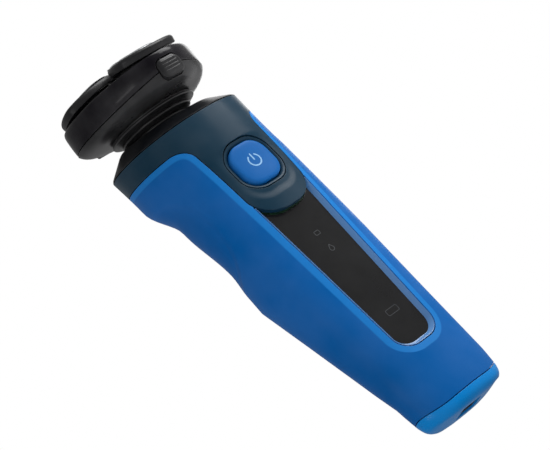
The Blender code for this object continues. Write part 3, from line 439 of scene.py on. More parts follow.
def panelCutter(name, grow):
    # the collar band all round, and the tongue through the front only
    bandLow = handle["height"] - handle["bandHeight"] - grow
    atFront = bandLow + tanTilt * (frontY(bandLow, panel["topHalf"]) - shiftY)
    half = tongueHalf(atFront) + grow
    fillet = panel["fillet"] - grow
    endRadius = min(panel["endRadius"], tongueHalf(panel["tongueEnd"]) + grow - 0.05 * mm)
    lowHalf = tongueHalf(panel["tongueEnd"] + endRadius) + grow
    right = arc(lowHalf - endRadius, panel["tongueEnd"] - grow + endRadius, endRadius, -90, 0, 14)
    right += arc(half + fillet, atFront - fillet, fillet, 180, 90, 10)
    right += [(45 * mm, atFront), (45 * mm, 170 * mm)]
    outline = mirrored(right)
    lean = frontY(110 * mm, panel["topHalf"]) - shiftY
    rings = [[Vector((x, y + shiftY, z + tanTilt * (y - lean) * (z > 112 * mm))) for x, z in outline]
             for y in (-4 * mm, -40 * mm)]
    item = cutterFrom(name, rings)
    band = []
    for y in (45 * mm, -5 * mm):
        z = bandLow + tanTilt * y
        corners = ((-45 * mm, z), (45 * mm, z), (45 * mm, 170 * mm), (-45 * mm, 170 * mm))
        band.append([Vector((x, y + shiftY, height)) for x, height in corners])
    other = cutterFrom(name + "Band", band)
    cutBy(item, other, "UNION")
    settle(item)
    bpy.data.objects.remove(other)
    return item


def displayPath(inset, topZ):
    # right half of the display's outline, from its lowest point up the straight side
    corner = display["corner"] - inset
    low = display["endZ"] + inset
    lowHalf = tongueHalf(low + corner) - inset
    points = arc(lowHalf - corner, low + corner, corner, -90, 0, 12)
    for step in range(1, 25):
        z = low + corner + (topZ - low - corner) * step / 24
        points.append((tongueHalf(z) - inset, z))
    return points


# Shaped finishes of the handle

relief = {
    "bandWidth": 2.3 * mm,
    "bandDepth": 0.34 * mm,
    "gripCentre": (14.5 * mm, 96.5 * mm),
    "gripSize": (23.5 * mm, 21.0 * mm),
    "gripDepth": 0.42 * mm,
    "recessDepth": 0.4 * mm,
}


def separate(tree):
    coords = tree.nodes.new("ShaderNodeTexCoord")
    node = tree.nodes.new("ShaderNodeSeparateXYZ")
    tree.links.new(coords.outputs["Object"], node.inputs[0])
    return node.outputs


def roundedDistance(tree, x, z, half, lowZ, radius):
    # distance outside an upright strip with a round lower end
    across = calc(tree, "MAXIMUM", calc(tree, "ADD", calc(tree, "SUBTRACT", x, half), radius), 0.0)
    below = calc(tree, "MAXIMUM", calc(tree, "SUBTRACT", lowZ + radius, z), 0.0)
    square = calc(tree, "ADD", calc(tree, "MULTIPLY", across, across), calc(tree, "MULTIPLY", below, below))
    return calc(tree, "SUBTRACT", calc(tree, "SQRT", square), radius)


def bodyRelief(tree, base, soft):
    # the sloped band round panel and display, coloured lighter blue as a painted highlight, and the shallow
    # grip hollow on both sides, with painted shade in its middle
    x, y, z = separate(tree)
    x = calc(tree, "ABSOLUTE", x)
    y = calc(tree, "SUBTRACT", y, shiftY)
    slope = (panel["topHalf"] - panel["endHalf"]) / (panel["topZ"] - display["endZ"])
    half = calc(tree, "MULTIPLY_ADD", z, slope, panel["endHalf"] - slope * display["endZ"])
    tongue = roundedDistance(tree, x, z, half, display["endZ"], display["corner"])
    behind = calc(tree, "MULTIPLY", calc(tree, "MAXIMUM", calc(tree, "ADD", y, 6 * mm), 0.0), 8.0)
    tongue = calc(tree, "ADD", tongue, behind)
    bandLow = calc(tree, "MULTIPLY_ADD", y, tanTilt, handle["height"] - handle["bandHeight"])
    collar = calc(tree, "MULTIPLY", calc(tree, "SUBTRACT", bandLow, z), math.cos(handle["tilt"]))
    away = calc(tree, "SMOOTH_MIN", tongue, collar, panel["fillet"])
    ramp = spread(tree, away, 0.0, relief["bandWidth"], 0.0, 1.0)
    # painted highlight: the band round panel and display is coloured lighter blue, as if its slope caught the
    # light
    bandHighlight = spread(tree, away, relief["bandWidth"] * 0.86, relief["bandWidth"] * 1.1, 1.0, 0.0, True)
    base = mixColours(tree, bandHighlight, base, handleLook["bandHighlightBlue"])
    back = calc(tree, "DIVIDE", calc(tree, "SUBTRACT", y, relief["gripCentre"][0]), relief["gripSize"][0])
    rise = calc(tree, "DIVIDE", calc(tree, "SUBTRACT", z, relief["gripCentre"][1]), relief["gripSize"][1])
    back = calc(tree, "POWER", calc(tree, "ABSOLUTE", back), 2.5)
    rise = calc(tree, "POWER", calc(tree, "ABSOLUTE", rise), 2.5)
    hollow = calc(tree, "POWER", calc(tree, "ADD", back, rise), 0.4)
    edge = spread(tree, hollow, 0.93, 1.03, 0.0, 1.0, True)
    # painted shade: the middle of the grip hollow is coloured darker blue, as if in shadow
    shade = spread(tree, hollow, 0.8, 1.02, 1.0, 0.0, True)
    base = mixColours(tree, calc(tree, "MULTIPLY", shade, 0.28), base,
                      darker(handleLook["bodyBlue"], 0.35))
    normal = bumpFrom(tree, ramp, relief["bandDepth"], soft)
    normal = bumpFrom(tree, edge, relief["gripDepth"], normal)
    return base, normal


def panelRelief(tree, base, soft):
    # the soft hollow round the power button, longer towards the base
    x, y, z = separate(tree)
    x = calc(tree, "ABSOLUTE", x)
    low = button["z"] - button["height"] / 2 - 5.6 * mm
    away = roundedDistance(tree, x, z, button["width"] / 2 + 3.0 * mm, low, 8.0 * mm)
    above = calc(tree, "SUBTRACT", z, button["z"] + button["height"] / 2 + 1.6 * mm)
    away = calc(tree, "SMOOTH_MAX", away, above, 6.0 * mm)
    ramp = spread(tree, away, -2.4 * mm, 0.6 * mm, 0.0, 1.0, True)
    return base, bumpFrom(tree, ramp, relief["recessDepth"], soft)


button = {
    "z": 103.9 * mm,
    "width": 15.4 * mm,
    "height": 16.0 * mm,
    "corner": 5.8 * mm,
    "proud": 0.35 * mm,
    "iconRadius": 2.25 * mm,
    "iconLine": 0.5 * mm,
    "iconZ": 104.2 * mm,
    "edge": ((0.0, 2.8), (0.0, 0.9), (0.06, 0.55), (0.2, 0.28), (0.45, 0.1), (0.8, 0.02), (1.4, 0.0),
             (3.2, 0.0), (4.6, 0.0), (6.2, 0.0), (7.2, 0.0)),
    "bezel": ((1.72, 2.2), (1.72, 0.3), (1.6, 0.12), (1.2, 0.22), (0.75, 0.5), (0.4, 0.9), (0.32, 1.3),
              (0.32, 3.6), (1.2, 3.6)),
}

finishes = {
    "body": plastic("satin blue shell", handleLook["bodyBlue"], 0.42, 0.012, 0.3,
                    specular=0.08, mottle=0.05, shape=bodyRelief),
    "rear": plastic("satin blue grip", handleLook["bodyBlue"], 0.46, 0.02, 0.4, specular=0.1),
    "cap": plastic("gloss blue cap", handleLook["capBlue"], 0.3, 0.004, 0.6,
                   coat=0.04, specular=0.12),
    "panel": plastic("dark teal panel", handleLook["panelTeal"], 0.36, 0.006, 0.35,
                     coat=0.02, specular=0.14, shape=panelRelief),
    "bezel": plastic("dark teal bezel", handleLook["panelTeal"], 0.36, 0.004, 0.35,
                     coat=0.02, specular=0.14),
    # painted shade: near-black in place of the panel's teal, for the shade on the collar's top facet
    "crown": plastic("collar top in painted shade", handleLook["crownPaintedShade"], 0.36, 0.006, 0.4, specular=0.1),
    "button": plastic("blue button", handleLook["buttonBlue"], 0.4, 0.004, 0.4, specular=0.1),
    "display": plastic("black display cover", handleLook["displayBlack"], 0.09,
                       specular=0.4, mottle=0.02),
    "trim": plastic("clear blue display edge", handleLook["trimBlue"], 0.2,
                    coat=0.5, mottle=0.02),
    "icon": plastic("printed light blue", handleLook["iconBlue"], 0.4, 0.0,
                    specular=0.3, edge=0.05),
    "faint": plastic("unlit display mark", (0.05, 0.055, 0.06), 0.3, 0.0, specular=0.3, edge=0.05),
    "chamber": plastic("charcoal chamber", headLook["chamberGrey"], 0.3, 0.006, 0.35,
                       coat=0.04, specular=0.22, mottle=0.12),
    "holder": plastic("purple black holder", headLook["holderBlack"], 0.2, 0.003, 0.5,
                      coat=0.06, specular=0.14, mottle=0.1),
    "rings": plastic("soft dark neck rings", headLook["ringRubber"], 0.34, 0.006, 0.3,
                     specular=0.4, edge=0.1),
    "unit": plastic("charcoal unit", headLook["unitGrey"], 0.34, 0.008, 0.35, specular=0.25),
    "rubber": plastic("black rubber", (0.02, 0.02, 0.022), 0.7, 0.02, 0.25, specular=0.3),
    "nylon": plastic("natural nylon", (0.7, 0.7, 0.66), 0.5, 0.01, 0.4),
    "grey": plastic("grey nylon frame", (0.15, 0.16, 0.17), 0.55, 0.02, 0.3),
    "board": plastic("green board", (0.02, 0.14, 0.06), 0.45, 0.01, 0.6, mottle=0.25),
    "cell": plastic("green cell sleeve", (0.04, 0.26, 0.1), 0.35, 0.01, 0.5, mottle=0.15),
    "guard": metal("etched guard steel", headLook["guardSteel"], 0.26, streak=900.0),
    "steel": metal("plain steel", headLook["bladeSteel"], 0.3, streak=600.0),
    "brass": metal("plated contact", (0.8, 0.6, 0.25), 0.28),
}
print("finishes made")

# Handle shells


def levels(low, high, step):
    count = max(int((high - low) / step), 1)
    return [low + (high - low) * number / count for number in range(count + 1)]


def makeSkin(name, finish, lowZ, highZ):
    rings = []
    for level in levels(lowZ, highZ, handle["step"]):
        sag = 1.0 - smoothStep((level - handle["seam"]) / (20 * mm))
        tilt = smoothStep((level - 100 * mm) / (20 * mm))
        rings.append(skinRing(level, 0.0, tilt, sag))
    points, faces = bridge(rings)
    piece = addPiece(name, points, faces, finishes[finish], "handle")
    wall = piece.modifiers.new("wall", "SOLIDIFY")
    wall.thickness = handle["wall"]
    wall.offset = -1.0
    return piece


def rearOutline(grow):
    low, high = 14.0 * mm, 112.0 * mm
    return roundedBox(25.0 * mm + 2 * grow, high - low + 2 * grow, 6.0 * mm + grow, 8,
                      (0.0, (low + high) / 2))


def rearPrism(name, grow):
    return frontPrism(name, rearOutline(grow), -4 * mm, 45 * mm)


def buttonOutline(grow):
    return roundedBox(button["width"] + 2 * grow, button["height"] + 2 * grow, button["corner"] + grow, 10,
                      (0.0, button["z"]))


gap = handle["gap"]
skinLow = handle["seam"] + gap / 2
skinHigh = handle["height"]
cuts = {
    "rear": rearPrism("rearCut", gap),
    "rearKeep": rearPrism("rearKeep", 0.0),
    "window": frontPrism("windowCut", mirrored(displayPath(0.0, 91.5 * mm))),
    "panel": panelCutter("panelCut", gap),
    "panelKeep": panelCutter("panelKeep", 0.0),
    "button": frontPrism("buttonCut", buttonOutline(2.0 * mm)),
}

shell = makeSkin("bodyShell", "body", skinLow, skinHigh)
for cut in ("rear", "panel", "window"):
    cutBy(shell, cuts[cut])
settle(shell)
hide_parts("main_shell")

rear = makeSkin("gripCover", "rear", 9 * mm, 118 * mm)
cutBy(rear, cuts["rearKeep"], "INTERSECT")
settle(rear)
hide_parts("rear_cover")

panelPiece = makeSkin("darkPanel", "panel", 70 * mm, skinHigh)
cutBy(panelPiece, cuts["panelKeep"], "INTERSECT")
cutBy(panelPiece, cuts["button"])
settle(panelPiece)
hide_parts("collar_panel")
print("shells made")

# Display


def makeDisplay():
    path = displayPath(gap, 91.0 * mm)
    path = path + [(-x, z) for x, z in reversed(path)]
    count = len(path) // 2
    ordered = [(-x, z) for x, z in reversed(path[:count])] + path[1:count]
    section = ((0.0, 0.08), (0.1, 0.02), (0.18, 0.06), (1.5, 1.5), (1.5, 1.85), (0.0, 1.85))
    rings = []
    for step, (x, z) in enumerate(ordered):
        before = ordered[max(step - 1, 0)]
        after = ordered[min(step + 1, len(ordered) - 1)]
        along = Vector((after[0] - before[0], after[1] - before[1])).normalized()
        inward = Vector((-along.y, along.x))
        ring = []
        for inset, deep in section:
            px, pz = x + inward.x * inset * mm, z + inward.y * inset * mm
            ring.append(Vector((px, frontY(z, x) + deep * mm, pz)))
        rings.append(ring)
    points, faces = bridge(rings, capStart=True, capEnd=True)
    trim = addPiece("displayEdge", points, faces, finishes["trim"], "handle", sharp=30)
    cutBy(trim, cuts["panel"])
    settle(trim, 30)
    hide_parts("display_trim")

    rows, columns = 44, 16
    front, back = [], []
    for z in [18 * mm + 76 * mm * row / rows for row in range(rows + 1)]:
        half = tongueHalf(z) + 2 * mm
        edgeDrop = frontY(z, tongueHalf(z))
        line = []
        for column in range(columns + 1):
            x = half * (1.0 - 2.0 * column / columns)
            crown = 0.35 * (frontY(z, x) - edgeDrop)
            line.append(Vector((x, edgeDrop + crown + display["slopeDeep"] - 0.05 * mm, z)))
        front.append(list(reversed(line)))
        back.append([point + Vector((0, 0.6 * mm, 0)) for point in line])
    points, faces = bridge([a + b for a, b in zip(front, back)], capStart=True, capEnd=True)
    glass = addPiece("displayGlass", points, faces, finishes["display"], "handle")
    keep = frontPrism("glassKeep", mirrored(displayPath(1.66 * mm, 91.0 * mm)))
    cutBy(glass, keep, "INTERSECT")
    cutBy(glass, cuts["panel"])
    settle(glass)
    bpy.data.objects.remove(keep)
    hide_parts("display_window")


makeDisplay()


def glassY(x, z):
    edgeDrop = frontY(z, tongueHalf(z))
    return edgeDrop + 0.35 * (frontY(z, x) - edgeDrop) + display["slopeDeep"] - 0.05 * mm


def flatMark(name, loops, material, surfaceY, lift, body="handle"):
    # thin printed strips: each loop is an (outer, inner) pair of outlines
    points, faces = [], []
    for outer, inner in loops:
        count = len(outer)
        start = len(points)
        for outline in (outer, inner):
            points += [Vector((x, surfaceY(x, z) - lift, z)) for x, z in outline]
        for step in range(count):
            after = (step + 1) % count
            faces.append((start + step, start + count + step, start + count + after, start + after))
    return addPiece(name, points, faces, material, body)


marks = {
    "cellZ": 38 * mm,
    "dropZ": 66 * mm,
    "lockZ": 73 * mm,
    "line": 0.22 * mm,
}


def makeMarks():
    line = marks["line"]
    cell = [(roundedBox(5.2 * mm, 2.4 * mm, 0.6 * mm, 5, (0, marks["cellZ"])),
             roundedBox(5.2 * mm - 2 * line, 2.4 * mm - 2 * line, 0.45 * mm, 5, (0, marks["cellZ"])))]
    lock = [(roundedBox(2.2 * mm, 1.7 * mm, 0.35 * mm, 5, (0, marks["lockZ"])),
             roundedBox(2.2 * mm - 2 * line, 1.7 * mm - 2 * line, 0.2 * mm, 5, (0, marks["lockZ"])))]
    drop = []
    for size in (1.0, 0.74):
        outline = []
        for step in range(24):
            angle = math.tau * step / 24
            stretch = 1.0 + 0.75 * max(math.sin(angle), 0.0) ** 6
            across = mm * size * math.cos(angle)
            outline.append((across, marks["dropZ"] + mm * size * math.sin(angle) * stretch))
        drop.append(outline)
    flatMark("displayMarks", cell + lock + [tuple(drop)], finishes["faint"], glassY, 0.02 * mm)


makeMarks()
print("display made")

# Button and bezel


def buttonTop(x, z):
    dish = 0.16 * mm * max(1.0 - (x / (6 * mm)) ** 2 - ((z - button["z"]) / (6.3 * mm)) ** 2, 0.0)
    return frontY(button["z"], x) - button["proud"] + dish


def makeButton():
    backY = frontY(button["z"]) + 2.8 * mm
    rings = []
    for inset, deep in button["edge"]:
        shrink = 1.0 - inset * mm / (button["width"] / 2)
        ring = []
        for x, z in buttonOutline(0.0):
            px, pz = x * shrink, button["z"] + (z - button["z"]) * shrink
            ring.append(Vector((px, min(buttonTop(px, pz) + deep * mm, backY), pz)))
        rings.append(ring)
    points, faces = bridge(rings, capStart=True, capEnd=True)
    piece = addPiece("powerButton", points, faces, finishes["button"], "power_button",
                     sharp=50)
    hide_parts("power_button")

    radius, line, z0 = button["iconRadius"], button["iconLine"], button["iconZ"]
    opening = 32.0
    outer = arc(0, z0, radius + line / 2, 90 + opening, 450 - opening, 40)
    inner = arc(0, z0, radius - line / 2, 90 + opening, 450 - opening, 40)
    points, faces = [], []
    for (ax, az), (bx, bz) in zip(outer, inner):
        for x, z in ((ax, az), (bx, bz)):
            points.append(Vector((x, buttonTop(x, z) - 0.03 * mm, z)))
    for step in range(len(outer) - 1):
        faces.append((2 * step, 2 * step + 1, 2 * step + 3, 2 * step + 2))
    start = len(points)
    stem = roundedBox(line, radius * 1.25, line * 0.45, 6, (0, z0 + radius * 0.62))
    points += [Vector((x, buttonTop(x, z) - 0.03 * mm, z)) for x, z in stem]
    faces.append(tuple(range(start, start + len(stem))))
    addPiece("powerIcon", points, faces, finishes["icon"], "power_button")

    rings = []
    for grow, deep in button["bezel"]:
        outline = buttonOutline(grow * mm)
        rings.append([Vector((x, frontY(button["z"], x) + deep * mm, z)) for x, z in outline])
    points, faces = bridge(rings, closed=True)
    bezel = addPiece("buttonBezel", points, faces, finishes["bezel"], "handle", sharp=40)
    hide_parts("button_bezel")


makeButton()
print("button made")

# Collar top and base cap

collar = {
    "facetInset": 8.0 * mm,
    "facetRise": 6.6 * mm,
    "backDrop": 2.4 * mm,
    "wellRadius": 12.4 * mm,
    "wellDrop": 2.4 * mm,
}


def makeCollar():
    edge = [point + Vector((0, 0, gap)) for point in skinRing(skinHigh, 0.0, 1.0)]
    ridge = []
    for point in edge:
        inward = Vector((-point.x, neckPivot.y - point.y, 0)).normalized()
        rise = collar["facetRise"] - collar["backDrop"] * smoothStep((point.y - shiftY) / (27.6 * mm))
        ridge.append(point + inward * collar["facetInset"] + Vector((0, 0, rise)))
    well = []
    for step in range(len(edge)):
        angle = math.tau * step / len(edge)
        direction = Vector((math.cos(angle), math.sin(angle), 0)) * collar["wellRadius"]
        well.append(headPlace @ (direction + Vector((0, 0, collar["wellDrop"]))))

    def between(a, b, share, lift=0.0):
        return [p.lerp(q, share) + Vector((0, 0, lift * mm)) for p, q in zip(a, b)]

    under = headUp * -1.5 * mm
    crown = between(ridge, well, 0.18)
    slope = ((0.02, 0.12), (0.06, 0.3), (0.45, 0.34), (0.84, 0.34), (0.92, 0.2))
    rings = [edge, *(between(edge, ridge, *pair) for pair in slope), between(ridge, well, 0.04, -0.1), crown,
             between(crown, well, 0.6), between(crown, well, 0.94), well,
             [point + under for point in well], [point + under for point in crown],
             [point + under for point in between(edge, ridge, 0.84)],
             [point + Vector((0, 0, 2 * gap)) for point in skinRing(skinHigh, handle["wall"] + gap, 1.0)]]
    points, faces = bridge(rings, closed=True)
    piece = addPiece("collarTop", points, faces, finishes["crown"], "handle", sharp=28)
    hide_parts("collar_top")


makeCollar()


def makeCap():
    flatInset = 3.4 * mm
    narrow = handle["bottomFlat"] / (19.0 * mm - flatInset)
    floorRing = [Vector((point.x * narrow, point.y, 0.0)) for point in skinRing(0.0, flatInset)]
    lowRing = skinRing(0.35 * mm, 1.9 * mm, 0.0, 1.0)
    midRing = [a.lerp(b, 0.5) for a, b in zip(floorRing, lowRing)]
    rings = [floorRing, [Vector((p.x, p.y, max(p.z - 0.12 * mm, 0.0))) for p in midRing], lowRing]
    for level, inset in ((0.75, 1.2), (1.3, 0.7), (1.9, 0.4), (2.6, 0.2), (3.3, 0.08), (4.0, 0.0)):
        rings.append(skinRing(level * mm, inset * mm, 0.0, 1.0))
    rings.append(skinRing(handle["seam"] - gap / 2, 0.05 * mm, 0.0, 1.0))
    # a lip inside the shell, so that nothing shows through the seam
    lip = handle["wall"] + gap
    rings.append(skinRing(handle["seam"] - gap / 2, lip, 0.0, 1.0))
    rings.append(skinRing(handle["seam"] + 1.4 * mm, lip, 0.0, 1.0))
    points, faces = bridge(rings, capStart=True)
    cap = addPiece("baseCap", points, faces, finishes["cap"], "handle")
    wall = cap.modifiers.new("wall", "SOLIDIFY")
    wall.thickness = 1.6 * mm
    wall.offset = -1.0
    low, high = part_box("charge_socket")
    hole = roundedBox(high.x - low.x + 2 * gap, high.y - low.y + 2 * gap, 0.9 * mm, 6,
                      (0, (low.y + high.y) / 2))
    cutter = cutterFrom("socketHole", [[Vector((x, y, z)) for x, y in hole] for z in (-5 * mm, 7 * mm)])
    cutBy(cap, cutter)
    settle(cap)
    bpy.data.objects.remove(cutter)
    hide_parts("base_cap")


makeCap()
for cutter in cuts.values():
    bpy.data.objects.remove(cutter)
print("collar and cap made")

# Neck

neck = {
    "ballRadius": 11.0,
    "ballWall": 1.4,
    "rings": ((11.6, 5.4), (14.0, 7.3), (16.8, 9.3)),
    "top": 10.3,
    "steps": 112,
}


def scaled(profile):
    return [(radius * mm, height * mm) for radius, height in profile]


def makeNeck():
    outer = arc(0, 0, neck["ballRadius"], 22, -30, 13)
    inner = arc(0, 0, neck["ballRadius"] - neck["ballWall"], -32, 20, 13)
    points, faces = bridge(turnedRings(scaled(outer + inner), neck["steps"]), closed=True)
    ball = addPiece("neckBall", points, turnedOver(faces), finishes["rings"], "head_base",
                    headPlace)
    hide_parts("neck_ball")

    profile = [(neck["rings"][-1][0] - 0.5, neck["top"])]
    for radius, height in reversed(neck["rings"]):
        for angle in range(80, -81, -20):
            profile.append((radius - 0.62 + 0.62 * math.cos(math.radians(angle)),
                            height + 0.05 + 0.62 * math.sin(math.radians(angle))))
        profile.append((radius - 1.15, height - 0.72))
        profile.append((radius - 1.35, height - 1.0))
    low = profile[-1][1]
    profile += [(neck["rings"][0][0] - 2.4, low), (neck["rings"][-1][0] - 3.6, neck["top"])]
    points, faces = bridge(turnedRings(scaled(profile), neck["steps"]), closed=True)
    bellows = addPiece("neckRings", points, turnedOver(faces), finishes["rings"], "head_base",
                       headPlace, sharp=48)
    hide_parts("neck_bellows")


makeNeck()
print("neck made")

# Head shells

head = {
    "radius": 26.2 * mm,
    "swing": 1.5 * mm,
    "seamSide": 14.8 * mm,
    "seamFront": 16.8 * mm,
    "low": 10.6 * mm,
    "mouth": 15.6 * mm,
    "wall": 1.4 * mm,
    "lipTop": 23.2 * mm,
    "top": 26.0 * mm,
    "deckDrop": 1.8 * mm,
    "deckThick": 1.2 * mm,
    "unitCentre": (unitPlace("front").translation - neckPivot).dot(-rollAxis),
    "unitTilt": math.radians(11.0),
    "sides": 120,
}


def lobe(angle, turn, radius, swing):
    # point of a rounded three-sided outline, from its support distance and the slope of that
    support = radius + swing * math.cos(turn)
    slope = -3 * swing * math.sin(turn)
    cosine, sine = math.cos(angle), math.sin(angle)
    return support * cosine - slope * sine, support * sine + slope * cosine


def seamRise(angle):
    away = abs(math.degrees(angle) - 270.0)
    away = min(away, 360.0 - away)
    return (head["seamFront"] - head["seamSide"]) * (0.5 + 0.5 * math.cos(min(away / 75.0, 1.0) * math.pi))


def lobeRing(level, inset=0.0, wave=0.0):
    ring = []
    for step in range(head["sides"]):
        angle = math.tau * step / head["sides"]
        x, y = lobe(angle, 3 * (angle + math.pi / 2), head["radius"] - inset, head["swing"])
        ring.append(Vector((x, y, level + wave * seamRise(angle))))
    return ring


def circleRing(radius, level):
    return turnedRings([(radius, level)], head["sides"])[0]


def releaseOutline(grow):
    return roundedBox(release["width"] + 2 * grow, release["height"] + 2 * grow, 2.6 * mm + grow, 8,
                      (0.0, release["middle"]))


release = {
    "width": 9.6 * mm,
    "height": 7.2 * mm,
    "middle": 16.6 * mm,
    "ribStep": 1.2 * mm,
    "bow": 0.012,
    "edge": ((0.0, 3.1), (0.0, 0.55), (0.15, 0.2), (0.45, -0.05), (0.9, -0.2), (1.8, -0.3), (2.4, -0.3)),
}


def inHead(ring):
    return [headPlace @ point for point in ring]


def makeHead():
    wallFront = -(head["radius"] + head["swing"])
    cut = cutterFrom("releaseCut", [inHead([Vector((x, y, z)) for x, z in releaseOutline(gap)])
                                    for y in (wallFront + 6 * mm, wallFront - 5 * mm)])
    low, wall = head["low"], head["wall"]
    seam = head["seamSide"] - gap / 2
    rings = [
        circleRing(head["mouth"], low + wall),
        circleRing(head["mouth"], low),
        circleRing(head["mouth"] + 0.5 * mm, low),
        lobeRing(low + 0.12 * mm, 7.6 * mm),
        lobeRing(low + 0.5 * mm, 5.4 * mm),
        lobeRing(low + 1.0 * mm, 3.7 * mm),
        lobeRing(low + 1.6 * mm, 2.4 * mm, 0.1),
        lobeRing(low + 2.2 * mm, 1.5 * mm, 0.25),
        lobeRing(low + 2.8 * mm, 0.85 * mm, 0.45),
        lobeRing(low + 3.35 * mm, 0.4 * mm, 0.7),
        lobeRing(seam - 0.25 * mm, 0.06 * mm, 1.0),
        lobeRing(seam, 0.22 * mm, 1.0),
        lobeRing(seam, wall, 1.0),
        lobeRing(low + 3.3 * mm, wall + 0.8 * mm),
        lobeRing(low + wall + 0.6 * mm, 6.0 * mm),
    ]
    points, faces = bridge(rings, closed=True)
    chamber = addPiece("hairChamber", points, faces, finishes["chamber"], "head_base", headPlace)
    cutBy(chamber, cut)
    settle(chamber)
    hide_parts("hair_chamber")

    def deckLevel(radius):
        return head["top"] - head["deckDrop"] - (radius - head["unitCentre"]) * math.tan(head["unitTilt"])

    lip = 1.1 * mm
    wide = head["radius"] - lip
    hole = 1.8 * mm
    thick = head["deckThick"]
    seam = head["seamSide"] + gap / 2
    top = head["lipTop"]
    rings = [
        lobeRing(seam, 0.22 * mm, 1.0),
        lobeRing(seam + 0.25 * mm, 0.06 * mm, 1.0),
        lobeRing(17.2 * mm, 0.0, 0.75),
        lobeRing(19.2 * mm, 0.0, 0.35),
        lobeRing(21.2 * mm, 0.08 * mm, 0.1),
        lobeRing(top - 0.9 * mm, 0.24 * mm),
        lobeRing(top - 0.4 * mm, 0.42 * mm),
        lobeRing(top - 0.1 * mm, 0.62 * mm),
        lobeRing(top, 0.8 * mm),
        lobeRing(top - 0.1 * mm, lip),
        lobeRing(deckLevel(wide), lip + 0.1 * mm),
        lobeRing(deckLevel(wide - 4 * mm), lip + 4 * mm),
        circleRing(10 * mm, deckLevel(10 * mm)),
        circleRing(hole, deckLevel(hole)),
        circleRing(hole, deckLevel(hole) - thick),
        lobeRing(deckLevel(wide) - thick - 0.2 * mm, lip + 0.5 * mm),
        lobeRing(seam, wall, 1.0),
    ]
    points, faces = bridge(rings, closed=True)
    holder = addPiece("headHolder", points, faces, finishes["holder"], "holder", headPlace)
    cutBy(holder, cut)
    bores = []
    for side in ("front", "right", "left"):
        place = unitPlace(side)
        bore = cutterFrom("unitBore" + side, [[place @ point for point in ring] for ring in
                                              turnedRings(scaled([(8.6, -6.0), (8.6, 6.0)]), 64)])
        cutBy(holder, bore)
        bores.append(bore)
    settle(holder)
    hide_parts("head_holder")
    for item in bores + [cut]:
        bpy.data.objects.remove(item)


makeHead()


def makeRelease():
    wallFront = -(head["radius"] + head["swing"])
    rings = []
    for inset, deep in release["edge"]:
        ring = []
        for x, z in releaseOutline(-inset * mm):
            bow = release["bow"] * (x / mm) ** 2 * mm
            ring.append(Vector((x, wallFront + deep * mm + bow * (deep < 0.5), z)))
        rings.append(ring)
    points, faces = bridge(rings, capStart=True, capEnd=True)
    for number in range(4):
        z = release["middle"] + (number - 1.2) * release["ribStep"]
        bar = []
        for x in (-3.3 * mm, -3.0 * mm, 3.0 * mm, 3.3 * mm):
            size = 0.34 * mm if abs(x) < 3.1 * mm else 0.12 * mm
            front = wallFront - 0.12 * mm + release["bow"] * (x / mm) ** 2 * mm
            bar.append([Vector((x, front + size * math.cos(turn) * 0.8, z + size * math.sin(turn)))
                        for turn in (math.tau * step / 10 for step in range(10))])
        barPoints, barFaces = bridge(bar, capStart=True, capEnd=True)
        faces += [tuple(index + len(points) for index in face) for face in barFaces]
        points += barPoints
    piece = addPiece("releaseButton", points, faces, finishes["chamber"], "release_button",
                     headPlace)
    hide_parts("release_button")


makeRelease()

hinge = {
    "pinY": 26.65 * mm,
    "knuckle": 1.66 * mm,
    "length": 18.0 * mm,
    "middle": 8.0 * mm,
    "ends": ((-0.5, 0.25), (-0.47, 0.06), (-0.44, 0.0), (0.44, 0.0), (0.47, 0.06), (0.5, 0.25)),
}


def makeHinge():
    ear = (hinge["length"] - hinge["middle"]) / 2 - gap
    earMiddle = hinge["middle"] / 2 + gap + ear / 2
    level = head["seamSide"]
    for name, x, length, rise, body in (("hingeKnuckle", 0.0, hinge["middle"], 1, "holder"),
                                        ("hingeEarLeft", -earMiddle, ear, -1, "head_base"),
                                        ("hingeEarRight", earMiddle, ear, -1, "head_base")):
        radius = hinge["knuckle"]
        outline = []
        for step in range(33):
            angle = math.radians(rise * 90 - rise * 270 * step / 32)
            outline.append((hinge["pinY"] + radius * math.cos(angle), level + radius * math.sin(angle)))
        reach = hinge["pinY"] - head["radius"] + head["swing"] + 0.6 * mm
        inner = hinge["pinY"] - reach
        outline += [(inner, level + rise * 0.2 * mm), (inner, level + rise * radius)]
        rings = []
        for share, inset in hinge["ends"]:
            grown = 1.0 - inset * mm / radius
            rings.append([Vector((x + share * length, hinge["pinY"] + (y - hinge["pinY"]) * grown,
                                  level + (z - level) * grown)) for y, z in outline])
        points, faces = bridge(rings, capStart=True, capEnd=True)
        if rise > 0:
            faces = turnedOver(faces)
        finish, slotName = ("holder", "holder_black") if body == "holder" else ("chamber", "charcoal")
        addPiece(name, points, faces, finishes[finish], body, headPlace)


makeHinge()
print("head made")

# Shaving units

unit = {
    "radius": 12.5 * mm,
    "swing": 1.2 * mm,
    "thick": 3.2 * mm,
    "offset": 14.7 * mm - head["unitCentre"],
    "guardRadius": 9.5 * mm,
    "skirt": 8.3 * mm,
    "proud": 0.68 * mm,
    "slots": 90,
    "guardTop": ((1.9, -0.5), (3.0, -0.1), (3.4, -0.02), (4.7, 0.0), (5.15, 0.0), (6.3, 0.0), (6.75, 0.0),
                 (7.9, 0.0), (8.6, -0.14), (9.1, -0.42), (9.38, -0.8), (9.5, -1.2), (9.5, -3.2)),
    "slottedBands": (3, 5, 7, 8),
}


def unitRing(z, grow, count=96):
    ring = []
    for step in range(count):
        angle = math.tau * step / count
        turn = 3 * (angle - math.pi)
        x, y = lobe(angle, turn, unit["radius"] + grow, unit["swing"])
        ring.append(Vector((x + unit["offset"], y, z)))
    return ring


